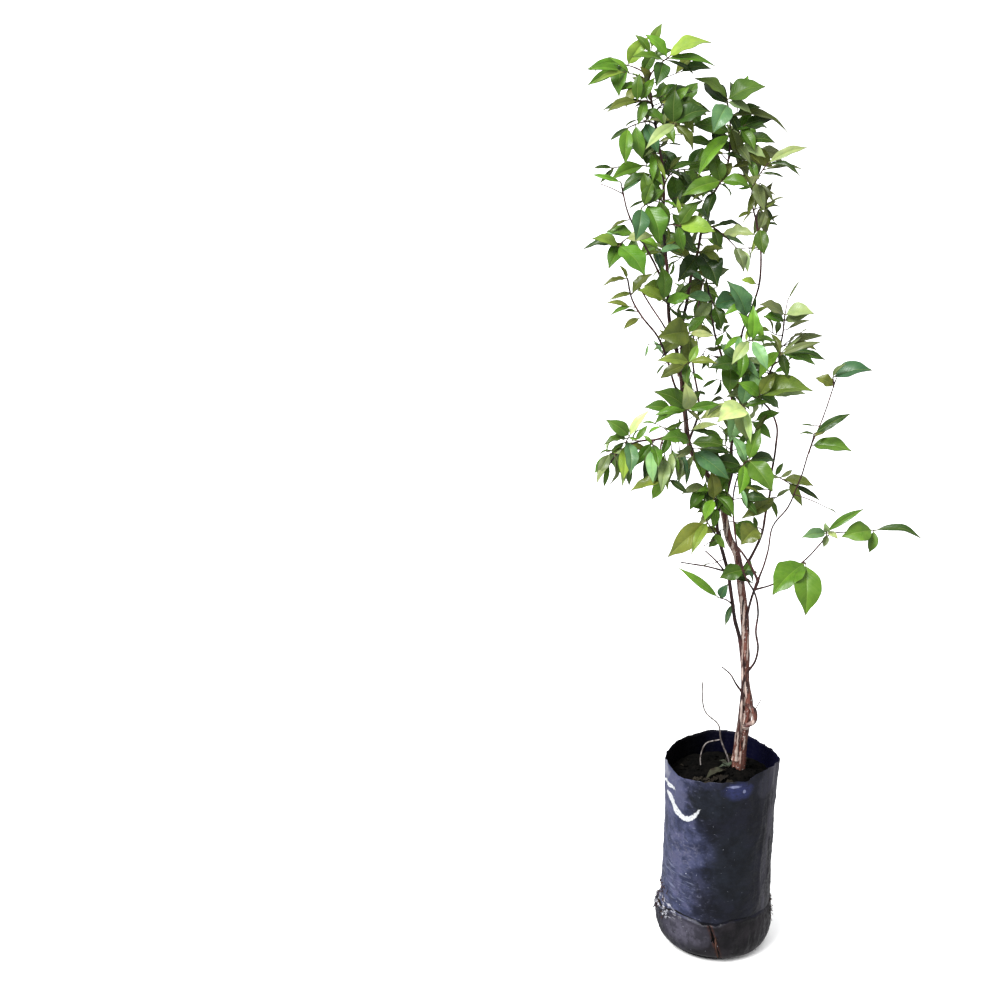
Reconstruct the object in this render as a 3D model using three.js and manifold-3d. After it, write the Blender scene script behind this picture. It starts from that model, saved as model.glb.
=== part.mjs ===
// A jaboticaba sapling growing in a black polythene nursery bag, in millimetres with +Z up.
// The origin is the centre of the bag's flat bottom, and the front of the bag faces -Y.
import * as THREE from 'three';
import { mergeVertices } from 'three/addons/utils/BufferGeometryUtils.js';
import Module from 'manifold-3d';

const wasm = await Module();
wasm.setup();

// The bag: a 20 x 30 cm lay-flat nursery bag, filled with soil.
const BAG_DIAMETER = 127;
const BAG_HEIGHT = 239;
const BAG_WALL = 1;
const BAG_SIDES = 30;
const FLAT_BOTTOM_RADIUS = 46;
const BAND_HEIGHT = 55;
const RIM_DENT = 1.7;
const WALL_DENT = 0.5;

// The soil, which stops below the rim.
const SOIL_TOP = 211;
const SOIL_BUMP = 1.6;
const HEAP_HEIGHT = 16;
const HEAP_WIDTH = 20;
const HEAP_X = 22;
const HEAP_Y = 2;

// Touching pieces stand this far apart.
const JOINT_GAP = 0.3;

// The leaves.
const LEAF_BREADTH = 0.46;
const RIB_THICKNESS = 1.2;
const PETIOLE_WIDTH = 1;
const BLADE_FOLD = 0.04;
const BLADE_ARCH = 0.1;
const LEAF_ROLL = 20;
const LEAF_SEED = 2663;

// A leaf's face turns this much to the sky and this much to the observer.
const FACE_UP = 0.55;
const FACE_FRONT = 0.85;

// Leaves given the same place on a twig sit this share of the twig's length apart, between its two ends.
const LEAF_STEP = 0.03;
const LEAF_FIRST = 0.18;
const LEAF_LAST = 0.98;

// Room kept round each leaf, from one test point to the next, and beyond the surface of a stem or twig.
const LEAF_ROOM = 5;
const SHOOT_LEAF_ROOM = 4.2;
const LEAF_ROOT_ROOM = 1.5;
const STEM_ROOM = 2.4;
const TWIG_ROOM = 3;

// A leaf's test points nearest its root: these may be near its own shoot's leaves, and these near its own twig.
const NEAR_LEAVES = 3;
const NEAR_TWIG = 6;

// The twigs that carry the leaves.
const TWIG_RADIUS = 1;
const TWIG_TIP_RADIUS = 0.7;
const TWIG_SIDES = 3;
const TWIG_PARTS = 2;

// The leaf directions below are read by an observer who stands in front and looks down a little.
const OBSERVER_PITCH = 21.6;
const OBSERVER_TURN = 7.4;

// The bare wood: each stem's route as points with the stem's radius, [x, y, z, radius].
const stems = {
  trunk: [
    [19, 5, 160, 7], [20, 5, 204, 7.9], [20, 5, 218, 7.6], [21, 4, 249, 7], [25, 3, 284, 5.8], [26.5, 3, 303, 5.8],
    [22.5, 3, 335, 4.4], [20.5, 2, 373, 4.8], [19, 2, 404, 4.6], [12, 3, 453, 4.3], [5, 2, 490, 4.1],
    [-3, 0, 508, 4], [-8, 0, 527, 3.8], [-12, 2, 546, 3.2],
  ],
  cut_stub: [[25, 1, 307, 2.4], [33.5, -3, 300, 3.1], [34, -4, 288, 3], [23, -3, 279, 2.6]],
  left_stem: [
    [15.5, 0, 236, 3.2], [17, -3, 265, 3], [19, -3, 296, 2.6], [20, -1, 324, 2.4], [14.5, -2, 381, 2.5], [4, -6, 430, 2.4],
    [-1, -10, 462, 2.4], [-8, -14, 490, 2.3], [-15, -12, 514, 2.2], [-17, -6, 530, 2.1], [-15, -1, 548, 2],
  ],
  knob_stem: [[19, 2, 404, 2.4], [22, -4, 428, 2], [26, -10, 449, 2], [30, -12, 463, 2.6]],
  crossing_stem: [[30, -12, 463, 2], [22, -16, 482, 1.7], [11, -12, 496, 1.6], [-1, 0, 504, 1.8]],
  right_long_stem: [
    [30, -12, 463, 2], [35, -16, 482, 1.8], [39, -22, 504, 1.6], [42, -30, 534, 1.5], [57, -40, 562, 1.5],
    [67, -48, 596, 1.4], [71, -52, 614, 1.4], [77, -54, 639, 1.3], [86, -50, 664, 1.2], [98, -40, 706, 1.1],
  ],
  wiry_stem: [
    [22, 2, 343, 1.9], [32, -8, 366, 1.8], [34, -12, 383, 1.7], [31, -14, 402, 1.7], [32, -18, 429, 1.6],
    [27, -22, 453, 1.5], [18, -28, 471, 1.4], [11, -30, 488, 1.4], [6, -26, 507, 1.4], [1, -20, 534, 1.3],
    [-1, -18, 558, 1.2], [1, -22, 580, 1.2], [6, -26, 601, 1.1],
  ],
  right_stem: [
    [14, 2, 470, 2.2], [25, 14, 488, 1.9], [32, 20, 505, 1.8], [35, 26, 529, 1.7], [38, 28, 549, 1.6],
    [39, 26, 572, 1.6], [42, 22, 607, 1.5], [42, 20, 630, 1.4], [33, 18, 650, 1.4], [22, 14, 662, 1.3],
  ],
  right_side_stem: [[23, 14, 661, 1.3], [30, 18, 687, 1.3], [38, 14, 712, 1.2], [42, 6, 736, 1.1], [43, 0, 756, 1]],
  mid_stem: [
    [-12, 2, 544, 3], [-7, 8, 561, 2.6], [-4, 12, 575, 2.4], [-5, 16, 603, 2.2], [-4, 20, 630, 2],
    [-7, 22, 657, 1.9], [-13, 22, 679, 1.8], [-20, 24, 704, 1.7], [-28, 26, 727, 1.5], [-33, 28, 754, 1.4], [-37, 30, 778, 1.2],
  ],
  left_main_stem: [
    [-12, 2, 543, 3.2], [-23, -6, 569, 3.1], [-31, -10, 584, 3], [-44, -14, 603, 3], [-51, -16, 623, 2.9],
    [-54, -14, 645, 2.8], [-58, -10, 666, 2.8], [-62, -6, 693, 2.7],
  ],
  left_leader: [
    [-62, -6, 691, 2.6], [-67, -8, 720, 2.4], [-75, -10, 753, 2.3], [-77, -12, 779, 2.2], [-80, -14, 812, 2.1],
    [-84, -14, 848, 2], [-85, -12, 879, 1.9], [-88, -10, 914, 1.8], [-94, -8, 944, 1.7], [-99, -6, 973, 1.5], [-105, -4, 998, 1.3],
  ],
  right_leader: [
    [-62, -6, 691, 2.4], [-62, 2, 722, 2.2], [-62, 8, 748, 2.1], [-59, 12, 766, 2], [-56, 14, 789, 2],
    [-50, 16, 819, 1.9], [-46, 16, 842, 1.8], [-42, 14, 859, 1.7], [-37, 12, 878, 1.6], [-30, 10, 892, 1.5],
    [-23, 8, 909, 1.4], [-21, 6, 934, 1.3],
  ],
  far_left_stem: [
    [-57, -11, 662, 1.8], [-67, -22, 685, 1.6], [-75, -32, 715, 1.5], [-86, -40, 744, 1.4], [-102, -44, 765, 1.3],
    [-113, -44, 784, 1.2], [-118, -42, 804, 1.1],
  ],
  left_inner_stem: [[-66, -8, 716, 1.4], [-81, 10, 739, 1.2], [-95, 18, 757, 1.1], [-108, 22, 776, 1]],
  left_upper_stem: [
    [-77, -12, 777, 1.6], [-92, -26, 817, 1.4], [-105, -34, 842, 1.3], [-113, -38, 857, 1.2], [-120, -40, 873, 1.1], [-125, -38, 892, 1],
  ],
  back_stem: [
    [-51, -16, 620, 1.8], [-42, 14, 645, 1.6], [-44, 30, 662, 1.5], [-49, 38, 681, 1.4], [-52, 46, 704, 1.3],
    [-49, 54, 735, 1.2], [-46, 58, 765, 1],
  ],
  right_high_stem: [
    [-7, 22, 655, 1.7], [-2, 10, 700, 1.5], [2, 0, 745, 1.4], [7, -4, 759, 1.4], [11, -8, 776, 1.3],
    [15, -10, 793, 1.3], [16, -12, 812, 1.3], [15, -12, 830, 1.2], [10, -10, 855, 1.2], [4, -8, 877, 1.1],
  ],
  arching_stem: [
    [-52, -16, 624, 1.7], [-70, -30, 632, 1.5], [-85, -38, 630, 1.4], [-100, -44, 630, 1.3], [-111, -48, 627, 1.2],
    [-123, -50, 618, 1.1], [-134, -50, 600, 1],
  ],
  low_right_stem: [
    [27, -11, 452, 1.7], [48, -26, 468, 1.5], [70, -38, 493, 1.4], [82, -42, 509, 1.3], [92, -44, 523, 1.3],
    [102, -44, 535, 1.2], [120, -44, 539, 1.1], [142, -42, 542, 1],
  ],
  bare_twig_low: [[19.5, -0.5, 321, 1.5], [12, -4, 333, 1.3], [5, -8, 347, 1.1], [-4, -12, 357, 0.9]],
  bare_twig_left: [[-4, -11, 472, 1.3], [-28, -18, 480, 1.1], [-54, -24, 486, 0.9]],
  bare_twig_upper: [[-2, -10, 466, 1.3], [-17, -16, 487, 1.1], [-28, -20, 499, 0.9]],
};
const thickStems = ['trunk', 'left_main_stem'];
const middlingStems = ['left_stem', 'knob_stem', 'mid_stem', 'left_leader', 'right_leader'];

// The dry stalk that stands in the soil behind the trunk, and its side arc.
const dryStalk = [[9, 28, 196, 1], [9, 28, 214, 1], [-2, 31, 244, 0.9], [-5, 33, 260, 0.9], [-20, 33, 275, 0.8], [-26, 33, 314, 0.7]];
const dryStalkArc = [[-2, 31, 243, 0.8], [-19, 31, 236, 0.7], [-24, 27, 222, 0.7], [-21, 22, 200, 0.7]];

const STALK_SIDES = 4;

// The root that comes out through a tear in the bag's lower band.
const escapedRoot = [[4, -50, 42, 1.2], [3, -60, 38, 1.2], [3.5, -68, 33, 1.2], [5, -67.5, 22, 1.1], [7, -66, 13, 0.9]];
const ROOT_SIDES = 5;

// Leafy shoots: the stem, how far along it the twig leaves it, the twig's tip, and the leaves.
// A leaf is [place along the twig, lean (0 right, 90 up), degrees toward the observer, length, breadth].
const shoots = {
  top_right: ['left_leader', 0.98, [-84, -20, 1023], [
    [1, 25, 10, 44, 1.2], [1, 134, 15, 32, 0.9], [1, -4, 25, 48, 0.42], [0.95, -14, -30, 38, 0.25], [0.9, -104, 35, 32, 1.2],
    [1, 178, 30, 38, 0.6],
  ]],
  top_left: ['left_leader', 1, [-133, 8, 1011], [
    [1, -98, 30, 40, 1], [0.8, 55, 20, 35, 1], [0.95, -172, 30, 42, 0.5], [1, -153, 0, 42, 0.5], [0.9, 176, -35, 42, 0.34],
    [0.4, 60, 30, 26],
  ]],
  upper_left: ['left_leader', 0.91, [-114, -28, 980], [
    [1, -164, 20, 34, 0.7], [1, 90, 10, 28, 0.9], [0.6, -173, -15, 44, 0.4], [0.9, 62, -20, 28, 0.8], [0.6, -112, 20, 28, 0.8],
  ]],
  upper_mid_back: ['left_leader', 0.86, [-68, 60, 964], [
    [1, 60, 0, 26, 1.2], [1, -55, 10, 30, 1.2], [1, 152, 10, 34, 1.3], [0.8, -12, -20, 34], [0.4, 85, -15, 30, 1.2],
    [0.5, -80, 0, 30, 1.1],
  ]],
  upper_mid: ['left_leader', 0.82, [-74, -34, 960], [
    [1, -138, 30, 46, 0.6], [0.9, 88, 20, 34, 1.3], [1, 25, 15, 36, 1.2], [1, -50, 10, 32], [0.6, 140, 0, 28],
    [0.6, -60, 25, 24],
  ]],
  left_high: ['left_leader', 0.84, [-122, -40, 956], [
    [1, -97, 15, 38, 0.8], [0.75, -80, -10, 34, 0.9], [1, -150, 0, 24, 0.5], [0.5, -70, 20, 34, 0.9], [0.4, 120, -20, 24, 0.8],
    [0.4, -105, 30, 32, 0.9],
  ]],
  left_far: ['left_leader', 0.67, [-142, 30, 901], [
    [1, 176, 0, 20, 0.5], [0.97, -132, 10, 22, 0.5], [0.45, -160, 20, 40, 0.8], [0.35, -60, 20, 36, 0.7],
    [0.3, -100, 30, 32, 0.8], [0.5, 84, 10, 32, 1.1],
  ]],
  mid_back: ['left_leader', 0.62, [-62, 72, 893], [
    [1, 62, 0, 28], [0.8, -50, 10, 34, 1.2], [0.7, 132, -10, 32, 1.2], [1, 5, 15, 30], [0.5, -80, 0, 36, 1.2],
    [0.4, 100, 0, 28], [1, -96, -10, 38, 1.2],
  ]],
  mid_left: ['left_leader', 0.58, [-105, -66, 882], [
    [1, -100, 20, 34, 1.2], [0.8, -66, 25, 40, 1.4], [0.7, 98, 10, 32], [1, 70, -10, 26], [0.4, -75, -10, 32],
    [1, 40, 15, 26],
  ]],
  mid_front: ['left_leader', 0.5, [-65, -44, 860], [
    [0.3, 170, 10, 30], [0.9, -8, 25, 38, 1.2], [1, 55, 10, 32, 1.1], [0.7, -50, -10, 32], [0.6, 88, -10, 36, 1.2], [1, -80, 0, 26],
  ]],
  mid_low: ['left_leader', 0.4, [-96, 58, 812], [
    [1, 150, 10, 26], [0.8, 20, 30, 34, 1.2], [1, -150, 0, 28], [0.5, -22, 0, 38, 1.1], [0.7, 95, -10, 28], [1, -75, 15, 26, 1.2],
  ]],
  left_upper_tip: ['left_upper_stem', 0.97, [-127, -42, 903], [
    [0.4, 33, 10, 32, 0.8], [1, 168, 5, 30, 0.4],
  ]],
  left_cluster: ['left_upper_stem', 0.56, [-126, -80, 846], [
    [1, 160, 20, 28], [1, -50, 30, 42, 1.4], [0.8, -118, 25, 34, 1.1], [0.4, 165, 0, 28, 1.2], [1, -176, -5, 38, 0.6],
    [0.3, -25, 25, 26], [0.8, 12, 15, 28], [0.5, -92, -15, 30],
  ]],
  right_top: ['right_leader', 1, [-26, 0, 981], [
    [1, 146, 15, 38, 0.8], [1, 20, 15, 40, 1.9], [1, -28, 30, 28, 0.9], [0.95, 134, -20, 36, 1.2], [0.98, -122, 30, 38, 1.3],
    [0.75, -8, 0, 62, 0.45], [0.75, 16, -30, 42, 0.3], [0.5, 14, 20, 42, 1.1], [0.6, -75, -20, 34, 0.9], [0.5, 165, 0, 38, 1],
    [0.5, -130, 25, 60, 0.55],
  ]],
  right_top_back: ['right_leader', 0.92, [7, 68, 916], [
    [1, -20, 0, 30], [0.6, -38, 20, 36], [0.9, -85, 10, 32], [1, 120, 10, 32, 1.3], [0.5, 110, -10, 30], [0.3, -60, 10, 32],
    [0.3, 150, 0, 30, 1.1],
  ]],
  right_middle: ['right_leader', 0.72, [-27, -26, 903], [
    [1, -163, 15, 44, 0.9], [1, -8, 15, 30, 1.4], [0.5, -110, 10, 28], [1, 104, 15, 28, 1.5], [1, 60, 20, 28],
    [0.5, 150, -15, 28],
  ]],
  right_inner: ['right_leader', 0.61, [-9, -24, 834], [
    [0.55, -4, 20, 36], [0.35, 14, -20, 34, 0.4], [1, -66, 15, 28], [0.4, -80, 20, 26, 1.1], [0.3, 128, 0, 34, 1.3],
  ]],
  right_dark: ['right_leader', 0.46, [-46, -26, 830], [
    [0.6, -56, 25, 42, 1.5], [1, 10, 0, 24, 0.8], [1, -20, -10, 26], [0.5, 150, 10, 28], [0.5, -125, 20, 36, 1.2],
  ]],
  hanging_top: ['right_high_stem', 1, [18, -24, 922], [
    [1, 25, 10, 42, 0.5], [1, -16, 35, 36, 0.5], [0.85, 5, 10, 40, 0.3], [0.8, -12, 15, 24, 0.4], [0.75, -134, 20, 28, 0.8],
    [0.6, -78, 25, 34, 0.8], [0.4, -105, 10, 24, 0.6], [0.7, 110, -10, 26, 0.8], [0.7, -62, -15, 28, 0.7],
  ]],
  hanging_mid: ['right_high_stem', 0.89, [15, 42, 862], [
    [1, 72, 15, 28, 0.7], [1, 6, 10, 20, 0.5], [0.8, -84, 15, 30, 0.7], [0.5, 32, -10, 24, 0.5], [0.7, -105, 20, 28, 0.7],
    [0.9, 110, 0, 26, 0.7],
  ]],
  hanging_low: ['right_high_stem', 0.83, [13, -30, 857], [
    [1, -84, 15, 28, 1.25], [0.8, 70, 10, 24, 0.7], [0.6, -112, 20, 26, 0.4],
  ]],
  teal_leaf: ['right_high_stem', 0.47, [4, -20, 760], [
    [1, 116, 20, 44, 1.15], [0.9, 78, -20, 38, 0.5],
  ]],
  right_fan: ['right_high_stem', 0.25, [11, -40, 743], [
    [1, 86, 20, 36, 0.8], [1, -66, 20, 36, 0.8], [0.8, -130, 25, 32, 0.9], [0.9, 112, 15, 34, 0.7], [0.9, 4, 10, 28, 0.7],
    [0.4, -95, 15, 34, 0.8],
  ]],
  low_left: ['left_leader', 0.23, [-81, -34, 780], [
    [1, 160, 20, 30, 1.3], [1, 92, 10, 36], [0.7, 20, 15, 26],
  ]],
  fork_leaves: ['right_leader', 0.12, [-53, -30, 745], [
    [1, -176, 30, 38, 1.9], [1, -4, 20, 26, 0.7], [0.9, -88, 25, 32, 1.2], [0.9, 50, 0, 28], [0.8, -148, 0, 32, 1.2],
  ]],
  fork_low: ['left_main_stem', 0.92, [-51, -56, 722], [
    [1, 0, 15, 28, 0.9], [1, 172, 25, 36, 0.8], [0.9, -100, 30, 26, 0.8], [0.8, -155, 0, 30, 0.9], [1, 60, -10, 24, 0.8],
  ]],
  left_low: ['left_main_stem', 0.66, [-51, -60, 672], [
    [1, 96, 25, 38, 0.95], [0.9, 148, 25, 44, 0.95], [0.8, -172, 0, 34, 0.9], [0.7, 60, -10, 28, 0.8], [1, 14, 10, 34, 0.7],
    [0.5, 110, -20, 30, 0.8],
  ]],
  far_left_tip: ['far_left_stem', 0.93, [-118, -48, 806], [
    [1, -165, 10, 26, 0.6], [1, 120, 0, 18, 0.6],
  ]],
  far_left: ['left_inner_stem', 0.97, [-116, 6, 774], [
    [1, 48, 10, 30, 0.9], [0.9, -168, 10, 26, 0.5],
  ]],
  mid_top: ['back_stem', 0.97, [-42, 84, 775], [
    [1, 100, 0, 28], [1, 20, 10, 28], [0.8, -150, 20, 30, 1.2], [0.8, 160, 10, 28, 1.2], [0.7, -60, 0, 26],
  ]],
  mid_upper: ['mid_stem', 0.95, [-30, 0, 766], [
    [1, 12, 25, 32, 1.4], [1, -70, 20, 26, 1.3], [0.7, 165, 10, 28], [0.8, -130, 10, 30],
  ]],
  mid_middle: ['mid_stem', 0.63, [-3, -6, 707], [
    [1, -172, 25, 32, 1.4], [0.9, 126, 15, 26, 1.1], [0.6, -95, 20, 34, 1.4], [1, 75, 10, 28], [0.7, -60, 0, 32, 1.2],
  ]],
  mid_pale: ['mid_stem', 0.42, [8, -24, 664], [
    [1, -160, 35, 40, 1.7], [1, -82, 20, 38, 0.5], [0.3, -98, 25, 42, 1.1], [1, 14, 10, 26, 0.8], [0.8, -85, 10, 36, 1],
    [0.9, 78, 0, 36, 1], [0.3, -165, 20, 38, 1],
  ]],
  big_right: ['wiry_stem', 0.97, [14, -44, 614], [
    [1, -58, 25, 42, 1.4], [1, 72, 15, 36, 0.9], [1, 0, 0, 34, 0.9], [0.8, 120, 10, 32, 0.9], [0.6, -100, 25, 36, 0.9],
    [0.5, -30, 0, 32, 0.8], [0.5, 170, 0, 34, 1],
  ]],
  big_left: ['left_main_stem', 0.32, [-48, -46, 632], [
    [0.6, -38, 20, 48, 0.9], [1, 168, 30, 38, 1.1], [1, 0, 10, 36, 0.9], [0.7, -72, 15, 34, 0.7], [0.6, -122, 20, 32, 0.5],
    [0.6, -15, -20, 36, 1],
  ]],
  near_fork: ['left_main_stem', 0.15, [-21, -30, 562], [
    [1, 100, 20, 32, 1.2], [1, -118, 20, 26, 1.1], [0.7, -45, 20, 34, 0.9], [0.8, 54, 0, 34, 1.1],
  ]],
  arching_mid: ['arching_stem', 0.39, [-85, -56, 628], [
    [1, -96, 15, 38, 0.8], [0.8, -84, 30, 34, 0.8], [0.9, -104, -15, 38, 0.8], [0.5, -130, 0, 30, 0.8], [1, -62, 0, 30, 0.6],
  ]],
  arching_far: ['arching_stem', 0.65, [-110, -68, 644], [
    [1, 142, 20, 30, 1.1], [1, 54, 20, 34, 0.7], [0.8, -166, 20, 28, 0.9], [0.4, -91, 10, 38, 0.8], [0.7, -84, 25, 38, 0.85],
    [0.5, -98, -15, 38, 0.7],
  ]],
  arching_tip: ['arching_stem', 0.8, [-131, -50, 617], [
    [1, -122, 10, 30, 0.8], [0.9, -132, -15, 28, 0.8], [0.5, -95, 15, 34, 0.7], [0.3, -82, -10, 34, 0.8],
  ]],
  arching_low: ['arching_stem', 0.25, [-67, -66, 594], [
    [0.5, -92, 20, 40, 0.75], [1, -34, 10, 24, 0.7], [1, -163, 10, 42, 0.7], [0.9, -122, 15, 34, 0.75], [0.5, -112, -10, 34, 0.7],
    [0.6, 70, 0, 28, 0.7],
  ]],
  right_low: ['right_stem', 1, [22, -22, 677], [
    [0.7, 8, 20, 58, 1.5], [1, 150, 15, 30, 1], [1, 60, 10, 30, 1], [0.5, -110, 20, 34, 0.9], [0.8, -25, 0, 32, 0.9],
    [1, 100, -10, 30, 1], [0.4, 178, 20, 32, 1],
  ]],
  right_arching: ['right_stem', 0.52, [59, 24, 564], [
    [0.6, -6, 10, 34, 0.8], [1, -62, 25, 30, 0.7], [1, -28, -10, 42, 0.3], [0.3, 60, 0, 18, 0.7],
  ]],
  right_drooping: ['right_stem', 0.36, [45, 0, 556], [
    [0.9, -147, 20, 46, 0.7], [1, 35, 0, 20, 0.6], [0.4, -70, 10, 22, 0.6],
  ]],
  round_leaf: ['right_stem', 0.18, [26, -14, 526], [
    [1, -140, 25, 27, 2.3], [1, 110, 0, 14, 0.8],
  ]],
  right_long_tip: ['right_long_stem', 0.96, [94, -44, 708], [
    [1, 12, 20, 40, 1.4], [1, 55, 0, 24, 0.45], [0, 155, 10, 20, 1.6],
  ]],
  right_long_mid: ['right_long_stem', 0.68, [78, -68, 655], [
    [1, 30, 15, 42, 0.5], [1, 172, 10, 16, 0.5], [0.4, -8, 20, 42, 1.15], [0.9, 25, -30, 18, 0.6],
  ]],
  low_right: ['low_right_stem', 0.67, [97, -60, 544], [
    [1, 32, 10, 46, 0.4], [0.8, -176, 20, 28, 1], [1, 100, 20, 14, 1.1], [1, -20, 30, 14, 1], [0.7, -100, 25, 14, 1.1],
  ]],
  low_right_tip: ['low_right_stem', 0.97, [148, -42, 541], [
    [1, -2, 5, 50, 0.4], [0.8, -168, 25, 36, 1.5], [1, -96, 20, 24, 1],
  ]],
  low_right_pair: ['low_right_stem', 0.42, [78, -66, 509], [
    [0.8, -139, 25, 52, 1.3], [1, -94, 20, 54, 1.4], [0.9, -160, -30, 26, 0.5],
  ]],
  left_trunk: ['left_stem', 0.83, [-28, -34, 539], [
    [0.9, -146, 15, 56, 0.95], [1, -120, 20, 42, 0.6], [1, 95, 15, 28, 0.9], [0.6, -60, 20, 20, 0.9],
  ]],
  left_narrow: ['left_stem', 0.6, [-12, -26, 447], [
    [1, 146, 15, 56, 0.36], [0.9, 72, 30, 20, 1.3], [0.18, -112, 20, 24, 0.6],
  ]],
  trunk_leaf: ['trunk', 0.72, [15, -22, 480], [
    [1, -168, 30, 28, 1.6], [1, -50, 20, 20, 1.2], [0.8, 60, 10, 18],
  ]],
  right_side: ['right_side_stem', 0.48, [40, -34, 726], [
    [1, 20, 15, 44, 0.36], [0.9, 1, 0, 46, 0.28], [0.8, -12, 25, 38, 0.8], [0.9, 40, -20, 36, 0.22], [1, 110, 10, 26, 0.7],
    [0.6, -130, 15, 36, 0.8], [0.5, -75, 15, 30, 0.8],
  ]],
  right_pair: ['right_side_stem', 0.9, [43, -8, 762], [
    [1, 160, 20, 30, 1.4], [1, 6, 20, 30, 1.4], [0.5, 176, 30, 26, 1.2], [0.5, 14, 30, 28, 0.9],
  ]],
};

// The fallen leaf on the soil: position, heading and length.
const fallenLeaf = { x: 5, y: 1, heading: 197, length: 25 };

// A seeded random draw, from 0 to 1.
function seededRandom(seed) {
  let state = seed >>> 0;
  return () => {
    state = (state + 0x6d2b79f5) >>> 0;
    let t = state;
    t = Math.imul(t ^ (t >>> 15), t | 1);
    t ^= t + Math.imul(t ^ (t >>> 7), t | 61);
    return ((t ^ (t >>> 14)) >>> 0) / 4294967296;
  };
}

const vec = (x, y, z) => new THREE.Vector3(x, y, z);
const radians = THREE.MathUtils.degToRad;

// A closed mesh from a list of corners and a list of triangles.
function closedGeometry(corners, triangles) {
  const geometry = new THREE.BufferGeometry();
  const positions = corners.flatMap((corner) => [corner.x, corner.y, corner.z]);
  geometry.setAttribute('position', new THREE.Float32BufferAttribute(positions, 3));
  geometry.setIndex(triangles.flat());
  return geometry;
}

function toSolid(geometry) {
  const bare = geometry.clone();
  bare.deleteAttribute('normal');
  bare.deleteAttribute('uv');
  const merged = mergeVertices(bare, 1e-4);
  return new wasm.Manifold(new wasm.Mesh({
    numProp: 3,
    vertProperties: new Float32Array(merged.attributes.position.array),
    triVerts: new Uint32Array(merged.index.array),
  }));
}

function toGeometry(solid) {
  const mesh = solid.getMesh();
  const geometry = new THREE.BufferGeometry();
  geometry.setAttribute('position', new THREE.BufferAttribute(new Float32Array(mesh.vertProperties), 3));
  geometry.setIndex(new THREE.BufferAttribute(new Uint32Array(mesh.triVerts), 1));
  return geometry;
}

function unite(solids) {
  return solids.reduce((whole, solid) => whole.add(solid));
}

// The one body of a cut solid that is largest, without the scraps.
function largestBody(solid) {
  const bodies = solid.decompose();
  return bodies.reduce((best, body) => (body.volume() > best.volume() ? body : best));
}

// Skin between two rings of the same number of corners, each ring given by its first corner's number.
// Each four-sided face is split along the diagonal that climbs, or along the one that falls.
function skin(first, second, count, falling = false) {
  const triangles = [];
  for (let i = 0; i < count; i += 1) {
    const j = (i + 1) % count;
    if (falling) {
      triangles.push([first + i, first + j, second + i], [first + j, second + j, second + i]);
    } else {
      triangles.push([first + i, first + j, second + j], [first + i, second + j, second + i]);
    }
  }
  return triangles;
}

// A tapered stem through points [x, y, z, radius], with flat ends.
function stemGeometry(points, sides, extra = 0) {
  const centres = points.map(([x, y, z]) => vec(x, y, z));
  const corners = [];
  const triangles = [];
  let across = null;
  centres.forEach((centre, n) => {
    const before = centres[Math.max(n - 1, 0)];
    const after = centres[Math.min(n + 1, centres.length - 1)];
    const along = after.clone().sub(before).normalize();
    const seed = across ?? (Math.abs(along.x) < 0.8 ? vec(1, 0, 0) : vec(0, 1, 0));
    across = seed.clone().addScaledVector(along, -seed.dot(along)).normalize();
    const other = along.clone().cross(across);
    for (let i = 0; i < sides; i += 1) {
      const turn = (i / sides) * Math.PI * 2;
      const radius = points[n][3] + extra;
      corners.push(centre.clone()
        .addScaledVector(across, Math.cos(turn) * radius)
        .addScaledVector(other, Math.sin(turn) * radius));
    }
    if (n > 0) triangles.push(...skin((n - 1) * sides, n * sides, sides));
  });
  const last = (centres.length - 1) * sides;
  for (let i = 1; i < sides - 1; i += 1) {
    triangles.push([0, i + 1, i], [last, last + i, last + i + 1]);
  }
  return closedGeometry(corners, triangles);
}

// A point on a stem, a given share of the way along it, with the stem's radius there.
function pointAlong(points, share) {
  const steps = points.slice(1).map((point, n) => vec(...point).distanceTo(vec(...points[n])));
  const length = steps.reduce((sum, step) => sum + step, 0);
  let rest = share * length;
  for (let n = 0; n < steps.length; n += 1) {
    if (rest <= steps[n] || n === steps.length - 1) {
      const t = Math.min(rest / steps[n], 1);
      const [a, b] = [points[n], points[n + 1]];
      const along = vec(...b).sub(vec(...a)).normalize();
      return { point: vec(...a).lerp(vec(...b), t), radius: a[3] + (b[3] - a[3]) * t, along };
    }
    rest -= steps[n];
  }
  return null;
}

// The twig of a shoot, which leaves its stem in the stem's own direction and bends out to its tip.
function twigRoute(stemName, share, tip) {
  const start = pointAlong(stems[stemName], share);
  const end = vec(...tip);
  const reach = start.point.distanceTo(end);
  const bend = start.point.clone().addScaledVector(start.along, reach * 0.35);
  const curve = new THREE.QuadraticBezierCurve3(start.point, bend, end);
  return curve.getPoints(TWIG_PARTS).map((point, n) => [
    point.x, point.y, point.z, TWIG_RADIUS + (TWIG_TIP_RADIUS - TWIG_RADIUS) * (n / TWIG_PARTS),
  ]);
}

// The observer's own directions.
const pitch = radians(OBSERVER_PITCH);
const turn = radians(OBSERVER_TURN);
const viewRight = vec(Math.cos(turn), Math.sin(turn), 0);
const viewUp = vec(-Math.sin(turn) * Math.sin(pitch), Math.cos(turn) * Math.sin(pitch), Math.cos(pitch));
const viewBack = vec(Math.sin(turn) * Math.cos(pitch), -Math.cos(turn) * Math.cos(pitch), Math.sin(pitch));

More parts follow.
